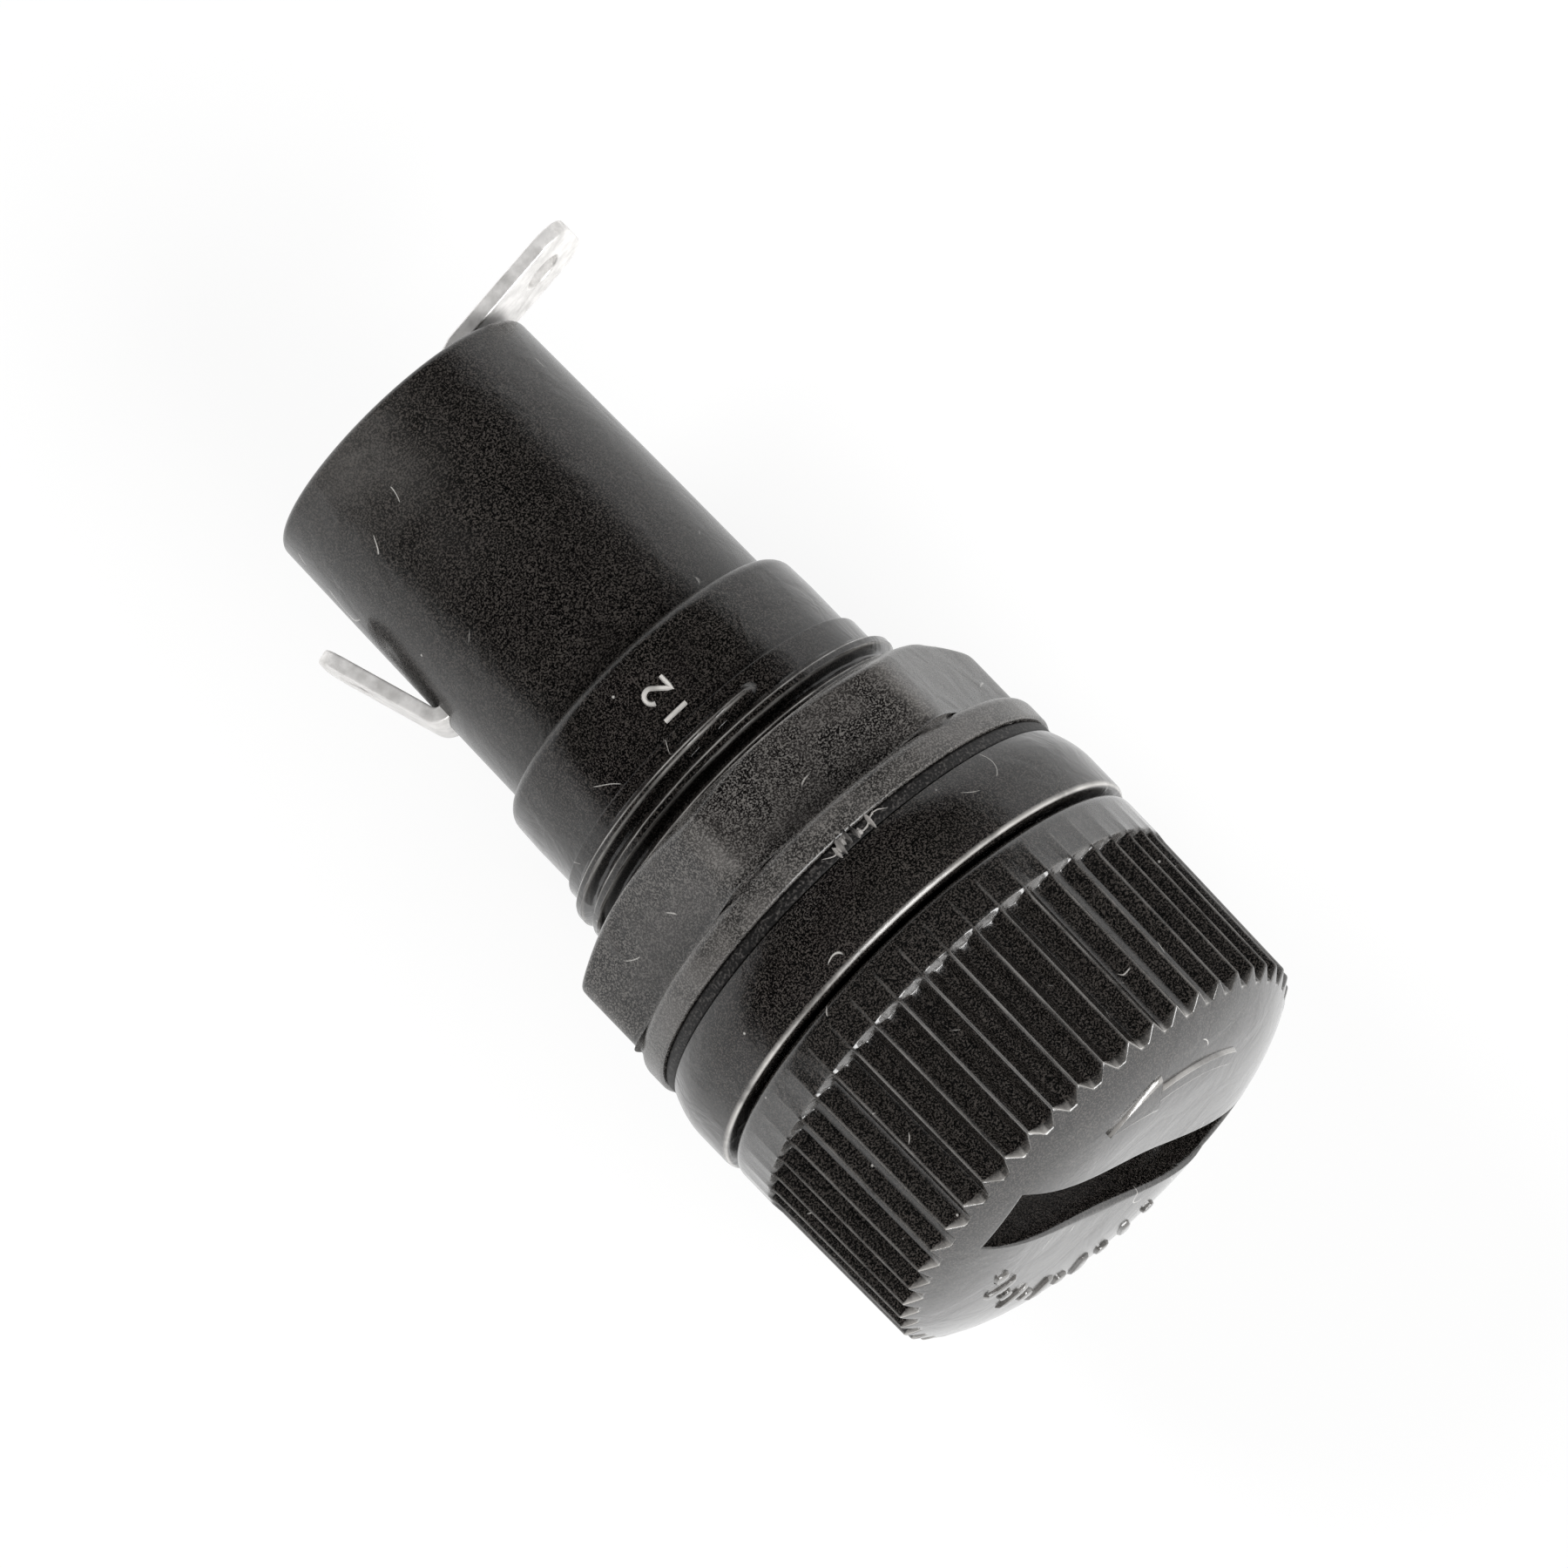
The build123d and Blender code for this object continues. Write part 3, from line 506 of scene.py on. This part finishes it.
outline = rounded([
    (GASKET_BORE, 0.0, 0.05),
    (GASKET_RADIUS, 0.0, 0.12),
    (GASKET_RADIUS, GASKET_THICK, 0.12),
    (GASKET_BORE, GASKET_THICK, 0.05),
])
radius, station = lathed(outline, columns)
rng = np.random.default_rng(5)
waves = sum(rng.uniform(0.2, 1) * np.cos(k * angle + rng.uniform(0, 6.28)) for k in range(2, 9)) / 5
radius += GASKET_BULGE * waves * (outline[:, :1] > (GASKET_BORE + GASKET_RADIUS) / 2)
gasket = surface("gasket_ring", around_axis(radius, station, angle), gasket_rubber, wrap_rows=True,
                 marks={"painted_highlight": 0.0})
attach(gasket, "gasket")
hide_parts("panel_gasket")

# The bead is a tube along the gasket's rim. Its thickness is a sum of waves, cut off where the sum is
# low, and lumps made by two crossed waves run round and along it.
FLASH_MIDDLE = 79.0         # degrees from +X towards +Z, as is FLASH_HALF
FLASH_HALF = 9.5
FLASH_THICK = 0.3
FLASH_STATION = 0.33
FLASH_WAVES = (4, 7, 12, 19, 29, 41)
bead_run = np.linspace(-1, 1, 150)
ragged = sum(rng.uniform(0.5, 1) * np.cos(k * bead_run + rng.uniform(0, 6.28)) for k in FLASH_WAVES) / 3
tapered = np.sqrt(np.clip(1 - bead_run**2, 0, 1))
thick = (FLASH_THICK * np.clip(ragged + 0.15, 0.08, 1.1) * tapered + 0.001)[:, None]
bead_run = bead_run[:, None]
round_bead = np.linspace(0, 2 * np.pi, 10, endpoint=False)
lumps = 1 + 0.35 * np.sin(3 * round_bead + 17 * bead_run) * np.cos(2 * round_bead - 31 * bead_run)
bead_radius = GASKET_RADIUS + 0.02 + thick * lumps * np.cos(round_bead)
bead_station = FLASH_STATION + 0.12 * np.sin(7 * bead_run) + 1.2 * thick * lumps * np.sin(round_bead)
bead_angle = np.radians(FLASH_MIDDLE + FLASH_HALF * bead_run) + np.zeros_like(bead_radius)
# The bead is painted pale all over, a painted highlight on its lumps.
flash = surface("gasket_flash", around_axis(bead_radius, bead_station, bead_angle), gasket_rubber,
                sharp=60, marks={"painted_highlight": 0.6})
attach(flash, "gasket")

# ------------------------------------------------------------------ panel nut
# Hexagonal nut with a round flange, moulded in black nylon, which is greyer and duller than the body.
# Its corners are a little rounded, and their rear ends are cut back by a shallow cone.
NUT_FLATS = 14.3
NUT_FRONT = GASKET_THICK
NUT_REAR = 4.7
NUT_BORE = 6.36
NUT_CHAMFER = 0.25          # of the bore, at both ends
NUT_FLANGE_RADIUS = 8.08
NUT_FLANGE_END = 1.6
NUT_CORNER = 45.0           # degrees from +X towards +Z, to the first corner
NUT_CREASE = 320            # the higher this power, the sharper the edge between two flats
NUT_CONE = 0.5              # how far the cone goes forward per millimetre of radius
nut_plastic = moulded_plastic("nut_nylon", "#080707", "#686562", "#4c4947", (0.2, 0.34),
                              cloud_share=0.4, ior=1.56)


def nearer(first, second, power):
    """The smaller of two distances, with a soft change from one to the other: the inverse of the power
    mean, (first ** -p + second ** -p) ** (-1 / p)."""
    return (first**-power + second**-power) ** (-1 / power)


# The hexagon's radius at an angle is that of its nearest flat, half the width over the cosine to the
# flat's middle, and it is trimmed to the flange's radius at the corners.
columns_nut = 432
angle_nut = np.linspace(0, 2 * np.pi, columns_nut, endpoint=False)
face_angles = np.radians(NUT_CORNER + 30 + 60 * np.arange(6))
facing = np.clip(np.cos(angle_nut[:, None] - face_angles), 0, None)
hexagon = NUT_FLATS / 2 / (facing**NUT_CREASE).sum(1) ** (1 / NUT_CREASE)
hexagon = nearer(hexagon, NUT_FLANGE_RADIUS + 0.03, 80)

# Bore and flange are turned shapes, and the last corner in the list only guides the rounding before
# it. The hexagon's corners reach out over the flange's rounded edge, and a small fillet joins them.
bore_rows = np.array([
    (NUT_BORE + NUT_CHAMFER, NUT_REAR - 0.03),
    (NUT_BORE, NUT_REAR - NUT_CHAMFER - 0.03),
    (NUT_BORE, NUT_FRONT + NUT_CHAMFER),
])
round_rows = rounded([(*row, 0) for row in bore_rows] + [
    (NUT_BORE + NUT_CHAMFER - 0.01, NUT_FRONT, 0),
    (NUT_FLANGE_RADIUS, NUT_FRONT, 0.1),
    (NUT_FLANGE_RADIUS, NUT_FLANGE_END, 0.4),
    (7.2, NUT_FLANGE_END, 0),
], 9)[:-1]
radius, station = lathed(round_rows, columns_nut)
rim_rows = slice(len(bore_rows) + 1, len(round_rows))
under_corner = np.minimum(hexagon, NUT_FLANGE_RADIUS - 0.08) * (station[rim_rows] > NUT_FLANGE_END - 0.4)
radius[rim_rows] = np.maximum(radius[rim_rows], under_corner)
hex_station = np.concatenate([NUT_FLANGE_END + np.array([0.01, 0.04, 0.12]),
                              np.linspace(NUT_FLANGE_END + 0.3, 3.6, 8),
                              np.linspace(3.7, NUT_REAR - 0.08, 16)])
hex_radius = np.repeat(hexagon[None], len(hex_station), 0)
hex_radius[0] += 0.12
hex_radius[1] += 0.05
cone = NUT_FLATS / 2 - 0.05 + (NUT_REAR - hex_station[:, None]) / NUT_CONE
hex_radius = nearer(hex_radius, cone, 60.0)
end_radius = np.minimum(hex_radius[-1:], NUT_FLATS / 2 - 0.06)
bore_edge = np.full((1, columns_nut), NUT_BORE + NUT_CHAMFER + 0.02)
radius = np.concatenate([radius, hex_radius, end_radius, bore_edge])
station = np.concatenate([station, np.repeat(hex_station[:, None], columns_nut, 1),
                          np.full((2, columns_nut), NUT_REAR)])
# Painted highlights: the hexagon's rear edge, the flange's rim and the hexagon's corners are painted paler.
on_corner = np.exp(-(((hexagon - hexagon.max()) / 0.09) ** 2))
painted_highlight = np.zeros_like(radius)
painted_highlight[-2:-1] = 0.5
painted_highlight[len(bore_rows) + 2 : len(round_rows)] = 0.07
painted_highlight[len(round_rows) + 3 :] += 0.12 * on_corner
nut = surface("hex_nut", around_axis(radius, station, angle_nut), nut_plastic, wrap_rows=True, sharp=50,
              marks={"painted_highlight": painted_highlight})
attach(nut, "nut")
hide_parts("panel_nut")

# ------------------------------------------------------------------ knob
# The knob is moulded in one piece with the stem that carries the fuse clip. Its grip has 48 grooves
# that run out through the rim of the domed face. A coin slot crosses the face.
KNOB_REAR = -2.83
KNOB_SKIRT_END = -4.33
KNOB_RIM = -10.25
KNOB_REAR_RADIUS = 8.18
KNOB_RIM_RADIUS = 8.07
KNOB_WALL = 1.03            # round the hollow behind the grip
KNOB_HOLLOW_END = -8.6
RIBS = 48
GROOVE_DEPTH = 0.47
DOME_RISE = 1.27
DOME_FULLNESS = 1.35
SLOT_HALF_WIDTH = 1.2
SLOT_HALF_LENGTH = 6.3
SLOT_FLOOR = -9.95
SLOT_ANGLE = -57.0          # degrees from +X towards +Z
SLOT_BRIM = 0.22            # rounding of the slot's edge
STEM_RADIUS = 4.72
STEM_END = 0.2
STEM_BORE = 3.3
STEM_BORE_END = -5.9
SEAL_GROOVE = (4.1, -2.05, -1.15)       # radius, front and rear
LUG_REACH = 0.13            # of the two bayonet lugs, out from the stem
LUG_HALF_WIDTH = 1.0
LUG_FRONT = -0.6


def dome(distance):
    """Station of the domed face: it rises from the rim as rise * (1 - t) * (1 + fullness * t), where t
    is the square of the distance from the axis over the rim's radius."""
    t = (distance / KNOB_RIM_RADIUS) ** 2
    return KNOB_RIM - DOME_RISE * (1 - t) * (1 + DOME_FULLNESS * t)


# The face is moulded against a polished tool and mirrors more than the body does, hence the thick
# resin skin and the high IOR.
knob_plastic = moulded_plastic("knob_phenolic", "#010101", "#3f3b38", "#110f0e", (0.1, 0.2),
                               cloud_share=0.2, skin=0.65, satin_extra=0.12, ior=1.72)

# One rib and groove: 14 columns at these shares of the rib's width, with this share of the depth.
rib_steps = np.array([0, 0.016, 0.06, 0.19, 0.3, 0.335, 0.375, 0.5, 0.625, 0.665, 0.7, 0.81, 0.94, 0.984])
rib_shape = np.array([0.03, 0.05, 0.16, 0.55, 0.9, 0.975, 1, 1, 1, 0.975, 0.9, 0.55, 0.16, 0.05])
knob_angle = ((np.arange(RIBS)[:, None] + rib_steps) / RIBS).ravel() * 2 * np.pi
groove = np.tile(rib_shape, RIBS)
many = len(knob_angle)
# A painted highlight, a paler colour, along the edges of the rib crests.
crest_highlight = 0.26 * np.exp(-(((groove - 0.05) / 0.05) ** 2))

# The slot's edge is a rectangle, given as its distance from the axis at each column.
from_slot = knob_angle - np.radians(SLOT_ANGLE)
slot_edge = np.minimum(SLOT_HALF_LENGTH / np.maximum(np.abs(np.cos(from_slot)), 1e-6),
                       SLOT_HALF_WIDTH / np.maximum(np.abs(np.sin(from_slot)), 1e-6))
knob_radius = []
knob_station = []
knob_highlight = []


def knob_row(distance, station_at, painted_glint=0.0):
    """Adds one ring of the knob's skin, given as radius, station and painted highlight for every column."""
    knob_radius.append(np.broadcast_to(np.asarray(distance, float), (many,)))
    knob_station.append(np.broadcast_to(np.asarray(station_at, float), (many,)))
    knob_highlight.append(np.broadcast_to(np.asarray(painted_glint, float), (many,)))


# The slot: its floor, its walls and its rounded brim.
for share in (0.0, 0.3, 0.6, 0.85, 0.97):
    knob_row(slot_edge * share, SLOT_FLOOR)
knob_row(slot_edge, SLOT_FLOOR - 0.08)
brim = dome(slot_edge) + SLOT_BRIM
for share in (0.02, 0.25, 0.5, 0.75, 1.0):
    knob_row(slot_edge, SLOT_FLOOR - 0.1 + (brim - SLOT_FLOOR + 0.1) * share)
for lean in np.radians(np.linspace(12, 90, 8)):
    outward = slot_edge + SLOT_BRIM * (1 - np.cos(lean))
    knob_row(outward, dome(outward) + SLOT_BRIM * (1 - np.sin(lean)))

# The domed face, out to a rim that follows the grooves. A highlight is painted on the rim, stronger on the
# side of each rib that the front lamp lights.
rim = KNOB_RIM_RADIUS - GROOVE_DEPTH * groove
for share in np.linspace(0.03, 0.985, 30):
    outward = slot_edge + SLOT_BRIM + (rim - slot_edge - SLOT_BRIM) * share
    knob_row(outward, dome(outward))
on_flank = 0.25 + 0.75 * (np.tile(rib_steps, RIBS) > 0.5)
knob_row(rim - 0.03, dome(rim - 0.03) + 0.004, 0.2 * on_flank)
knob_row(rim - 0.008, dome(rim) + 0.016, on_flank)
knob_row(rim, dome(rim) + 0.05, 0.6 * on_flank)

# The grip widens evenly to the rear. Its grooves then run out into a smooth skirt: each row of the
# table is a station, the share of the groove's depth left there, and the highlight painted in the groove's
# end.
grip_slope = (KNOB_REAR_RADIUS - KNOB_RIM_RADIUS) / (KNOB_REAR - KNOB_RIM)
for y in np.linspace(KNOB_RIM + 0.05, KNOB_SKIRT_END - 0.5, 12):
    grip = KNOB_RIM_RADIUS + grip_slope * (y - KNOB_RIM)
    knob_row(grip - GROOVE_DEPTH * groove, np.maximum(y, dome(rim) + 0.06), crest_highlight)
for y, depth_left, painted_glint in (
    (KNOB_SKIRT_END - 0.2, 1.0, 0.0),
    (KNOB_SKIRT_END - 0.17, 0.94, 0.1),
    (KNOB_SKIRT_END - 0.08, 0.14, 0.12),
    (KNOB_SKIRT_END - 0.05, 0.07, 0.06),
    (KNOB_SKIRT_END + 0.06, 0.06, 0.0),
    (KNOB_REAR - 0.7, 0.04, 0.0),
):
    knob_row(KNOB_REAR_RADIUS - GROOVE_DEPTH * groove * depth_left, y,
             painted_glint * (groove > 0.4) + crest_highlight * 0.4)

# The hollow rear and the stem, with its groove for the O-ring, its two lugs and its bore.
seal_radius, seal_front, seal_rear = SEAL_GROOVE
back = rounded([
    (KNOB_REAR_RADIUS, KNOB_REAR - 0.4, 0),
    (KNOB_REAR_RADIUS, KNOB_REAR, 0.3),
    (KNOB_REAR_RADIUS - KNOB_WALL, KNOB_REAR, 0.1),
    (KNOB_REAR_RADIUS - KNOB_WALL - 0.23, KNOB_HOLLOW_END, 0.2),
    (STEM_RADIUS, KNOB_HOLLOW_END, 0.2),
    (STEM_RADIUS, seal_front, 0.02),
    (seal_radius, seal_front, 0.02),
    (seal_radius, seal_rear, 0.02),
    (STEM_RADIUS, seal_rear, 0.02),
    (STEM_RADIUS, LUG_FRONT - 0.02, 0),
    (STEM_RADIUS, LUG_FRONT + 0.02, 0),
    (STEM_RADIUS, STEM_END, 0.05),
    (STEM_BORE, STEM_END, 0.05),
    (STEM_BORE, STEM_BORE_END, 0),
    (0.0, STEM_BORE_END, 0),
])
from_lug = np.abs(np.sin(knob_angle)) * STEM_RADIUS
lug = LUG_REACH * np.clip((LUG_HALF_WIDTH - from_lug) / 0.05, 0, 1)
for distance, y in back:
    on_stem = abs(distance - STEM_RADIUS) < 0.12 and y > LUG_FRONT
    knob_row(distance + lug * on_stem, y)
knob_radius = np.array(knob_radius)
knob_station = np.array(knob_station)
knob_satin = np.clip((knob_station - KNOB_RIM - 0.1) / 0.3, 0, 1)     # only the face is polished
knob = surface("knob_moulding", around_axis(knob_radius, knob_station, knob_angle), knob_plastic,
               marks={"painted_highlight": np.array(knob_highlight), "satin": knob_satin})
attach(knob, "knob")
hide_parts("knob")

# Raised arrow on the face: it shows the way to turn the knob to open it. A low section with sloping
# sides is carried along an arc and lies on the dome. Its half width is that of the shaft, rounded at
# the tail, and then that of the head, which narrows evenly to the tip.
ARROW_RADIUS = 5.3
ARROW_START = 17.0          # degrees from +X towards +Z, as are ARROW_NECK and ARROW_TIP
ARROW_NECK = 60.0
ARROW_TIP = 83.0
ARROW_TAIL = 2.01           # degrees over which the tail is rounded
ARROW_SHAFT = 0.3
ARROW_HEAD = 0.9
ARROW_LIFT = 0.13
arrow_run = np.concatenate([
    np.linspace(ARROW_START, ARROW_START + 2, 5),
    np.linspace(ARROW_START + 4, ARROW_NECK, 24),
    [ARROW_NECK + 0.01],
    np.linspace(ARROW_NECK + 1, ARROW_TIP, 14),
])
tail = np.sqrt(np.clip(1 - (1 - (arrow_run - ARROW_START) / ARROW_TAIL) ** 2, 0, 1))
shaft = ARROW_SHAFT * np.where(arrow_run < ARROW_START + ARROW_TAIL, tail, 1)
head = ARROW_HEAD * (ARROW_TIP - arrow_run) / (ARROW_TIP - ARROW_NECK)
arrow_half = np.where(arrow_run <= ARROW_NECK, shaft, head)
across = np.array([-1, -0.97, -0.84, -0.7, 0, 0.7, 0.84, 0.97, 1, 0])
lift = np.array([-0.1, 0.06] + [ARROW_LIFT] * 5 + [0.06, -0.1, -0.1])
arrow_distance = ARROW_RADIUS + arrow_half[:, None] * across
arrow_angle = np.radians(np.repeat(arrow_run[:, None], len(across), 1))
arrow_skin = around_axis(arrow_distance, dome(arrow_distance) - lift, arrow_angle)
# Its raised edges are painted paler, a painted highlight.
arrow = surface("opening_arrow", arrow_skin, knob_plastic,
                marks={"painted_highlight": 0.55 * ((np.abs(across) > 0.8) & (lift > 0))})
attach(arrow, "knob")

# Plain raised dots and bars take turns along an arc on the far half of the face. Each is a low cushion
# whose outline is a rounded rectangle, |x| ** 5 + |y| ** 5 = 1, laid on the dome.
MARK_LIFT = 0.12
MARK_RADIUS = 5.0
MARK_FIRST = 160.0          # degrees from +X towards +Z
MARK_STEP = 11.0            # degrees
MARK_COUNT = 11
MARK_DOT = (0.26, 0.26)     # half sizes along and across the arc, as are those of the bar
MARK_BAR = (0.22, 0.62)
lap = np.linspace(0, 2 * np.pi, 20, endpoint=False)
boxy = (np.abs(np.cos(lap)) ** 5 + np.abs(np.sin(lap)) ** 5) ** (-1 / 5)
ring_share = np.array([0.0, 0.6, 0.85, 1.0, 1.08])[:, None]
ring_lift = np.array([1.0, 1.0, 0.8, 0.1, -1.5])[:, None] * MARK_LIFT
for number in range(MARK_COUNT):
    half_along, half_across = (MARK_DOT, MARK_BAR)[number % 2]
    mark_distance = MARK_RADIUS + half_across * ring_share * boxy * np.sin(lap)
    mark_angle = np.radians(MARK_FIRST + MARK_STEP * number)
    mark_angle = mark_angle + half_along * ring_share * boxy * np.cos(lap) / MARK_RADIUS
    mark_skin = around_axis(mark_distance, dome(mark_distance) - ring_lift, mark_angle)
    under = np.repeat(mark_skin[-1:].mean(1, keepdims=True), len(lap), 1)
    # Each is painted a little paler all over, a painted highlight.
    mark = surface(f"face_mark_{number + 1}", np.concatenate([mark_skin, under]), knob_plastic,
                   marks={"painted_highlight": 0.25})
    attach(mark, "knob")

# ------------------------------------------------------------------ terminals and rear rivet
# The terminals are blanked from half-millimetre brass strip, bent, tumbled and tin plated, so they
# are pale, dull and a little uneven. A tubular rivet holds the rear one, through the cupped washer.


def plated_metal(name, dark, light, grain_mm, metallic, roughness):
    """Plated or drawn metal: its colour and gloss are mottled at grain_mm, where the plating flowed or
    the die rubbed, under a fine grain that is drawn at 0.08 mm so that it shows. Below 1, metallic is a
    chalky bloom that scatters light nearly as a white paint does."""
    material, tree = blank_material(name)
    place = add(tree, "ShaderNodeTexCoord").outputs["Object"]
    mottle = add(tree, "ShaderNodeTexNoise", {"Vector": place, "Scale": 1000 / grain_mm,
                 "Detail": 4.0, "Roughness": 0.55})
    grain = add(tree, "ShaderNodeTexNoise", {"Vector": place, "Scale": 1000 / 0.08, "Detail": 2.0})
    share = add(tree, "ShaderNodeMapRange", {"Value": mottle.outputs["Fac"], "From Min": 0.25,
                "From Max": 0.62})
    tone = add(tree, "ShaderNodeMix", {"Factor": share.outputs[0], "A": linear(dark),
               "B": linear(light)}, data_type="RGBA")
    gloss = add(tree, "ShaderNodeMapRange", {"Value": mottle.outputs["Fac"], "From Min": 0.3,
                "From Max": 0.7, "To Min": roughness[0], "To Max": roughness[1]})
    soft = add(tree, "ShaderNodeBump", {"Height": mottle.outputs["Fac"], "Strength": 0.4,
               "Distance": 0.00006})
    bump = add(tree, "ShaderNodeBump", {"Height": grain.outputs["Fac"], "Strength": 0.2,
               "Distance": 0.00001, "Normal": soft.outputs[0]})
    shader = add(tree, "ShaderNodeBsdfPrincipled", {"Base Color": tone.outputs["Result"],
                 "Metallic": metallic, "Roughness": gloss.outputs[0], "Normal": bump.outputs[0]})
    add(tree, "ShaderNodeOutputMaterial", {"Surface": shader.outputs[0]})
    return material


def dress(name, material, edge=0.05):
    """Gives a CAD piece its finish, and breaks its edges by a small bevel, as tumbling does."""
    piece = nodes[name]
    piece.data.materials.clear()
    piece.data.materials.append(material)
    if edge:
        join = piece.modifiers.new("join", "WELD")
        join.merge_threshold = 1e-6
        bevel = piece.modifiers.new("edge", "BEVEL")
        bevel.width = edge / 1000
        bevel.segments = 2
        bevel.limit_method = "ANGLE"
        bevel.angle_limit = np.radians(35)
        bevel.harden_normals = True


# Aged tin has bloomed chalky white on the strip. On the contacts it is still bright metal.
strip_tin = plated_metal("tin_plated_strip", "#c6c4c1", "#f0eeec", 0.5, 0.45, (0.3, 0.5))
dress("side_terminal", strip_tin, 0.09)
dress("rear_terminal", strip_tin, 0.09)
contact_tin = plated_metal("tin_plated_contact", "#a9a7a4", "#dedcd8", 0.6, 1.0, (0.22, 0.38))
dress("rear_rivet", contact_tin)
dress("spring_seat", contact_tin, 0.04)

# ------------------------------------------------------------------ contacts in the neck and bore
# The rolled sleeve and the cup that meets the fuse are pressed from thin bronze and tin plated. The
# sleeve is pushed into the neck, and the cup slides in the barrel's bore.
dress("contact_sleeve", contact_tin, 0.04)
dress("rear_contact", contact_tin, 0.06)

# The spring behind the cup: 0.4 mm stainless wire in a helix of five turns, whose angle and station
# both grow evenly along the wire.
SPRING_WIRE = 0.2           # radius
SPRING_TURNS = 5
SPRING_STEPS = 36           # in a turn
spring_low, spring_high = (np.array(corner) * 1000 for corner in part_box("rear_spring"))
coil_radius = (spring_high[0] - spring_low[0]) / 2 - SPRING_WIRE
wire_turn = np.linspace(0, 2 * np.pi * SPRING_TURNS, SPRING_STEPS * SPRING_TURNS + 1)[:, None]
wire_station = np.linspace(spring_low[1] + SPRING_WIRE, spring_high[1] - SPRING_WIRE, len(wire_turn))
section = np.linspace(0, 2 * np.pi, 12, endpoint=False)
coil = around_axis(coil_radius + SPRING_WIRE * np.cos(section) + 0 * wire_turn,
                   wire_station[:, None] + SPRING_WIRE * np.sin(section), wire_turn + 0 * section)
front_end = coil[:1].mean(1, keepdims=True).repeat(len(section), 1)
rear_end = coil[-1:].mean(1, keepdims=True).repeat(len(section), 1)
spring_steel = plated_metal("drawn_spring_steel", "#6f6e6d", "#a8a7a5", 0.3, 1.0, (0.2, 0.32))
spring = surface("contact_spring", np.concatenate([front_end, coil, rear_end]), spring_steel)
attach(spring, "holder")
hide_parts("rear_spring")
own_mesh(spring)

# ------------------------------------------------------------------ clip, screw and seal on the knob's stem
# The clip is a slit cup of tin-plated bronze, held by a zinc-plated pan-head screw. The O-ring is
# moulded rubber, smoother than the gasket.
dress("fuse_clip", contact_tin, 0.04)
zinc = plated_metal("zinc_plated_steel", "#8d9296", "#c3c7c9", 0.25, 1.0, (0.2, 0.36))
dress("clip_screw", zinc, 0.05)

# Nitrile rubber from a polished mould: black, with a soft gloss and a faint mottle of 0.12 mm.
seal_rubber, tree = blank_material("nitrile_rubber")
place = add(tree, "ShaderNodeTexCoord").outputs["Object"]
grain = add(tree, "ShaderNodeTexNoise", {"Vector": place, "Scale": 1000 / 0.12, "Detail": 3.0})
tone = add(tree, "ShaderNodeMix", {"Factor": grain.outputs["Fac"], "A": linear("#0a0a0a"),
           "B": linear("#232221")}, data_type="RGBA")
shader = add(tree, "ShaderNodeBsdfPrincipled", {"Base Color": tone.outputs["Result"], "Roughness": 0.38,
             "IOR": 1.5})
add(tree, "ShaderNodeOutputMaterial", {"Surface": shader.outputs[0]})
dress("knob_seal", seal_rubber, 0)

# ------------------------------------------------------------------ fuse
# A 5 x 20 mm cartridge fuse: nickel-plated brass caps, a drawn glass tube, and a fine copper wire
# soldered into both caps. The nickel is warm and bright, the solder grey and duller.
nickel = plated_metal("nickel_plated_brass", "#b3ada3", "#d9d4cb", 0.8, 1.0, (0.12, 0.24))
dress("fuse_cap_front", nickel, 0.06)
dress("fuse_cap_rear", nickel, 0.06)
solder = plated_metal("tin_solder", "#8b8d90", "#bcbfc2", 0.35, 1.0, (0.25, 0.45))
dress("solder_front", solder, 0.08)
dress("solder_rear", solder, 0.08)
copper = plated_metal("tinned_copper_wire", "#b59c86", "#d8c3ae", 0.2, 1.0, (0.2, 0.3))
dress("fuse_wire", copper, 0)

# Clear soda glass with the faint greenish cast of a drawn tube, slightly smeared by handling.
tube_glass, tree = blank_material("soda_glass")
place = add(tree, "ShaderNodeTexCoord").outputs["Object"]
draw = add(tree, "ShaderNodeTexNoise", {"Vector": place, "Scale": 1000 / 1.5, "Detail": 2.0})
smear = add(tree, "ShaderNodeMapRange", {"Value": draw.outputs["Fac"], "From Min": 0.4, "From Max": 0.7,
            "To Min": 0.02, "To Max": 0.09})
shader = add(tree, "ShaderNodeBsdfPrincipled", {"Base Color": linear("#f1f7f4"),
             "Roughness": smear.outputs[0], "IOR": 1.52, "Transmission Weight": 1.0})
add(tree, "ShaderNodeOutputMaterial", {"Surface": shader.outputs[0]})
dress("fuse_glass", tube_glass, 0)
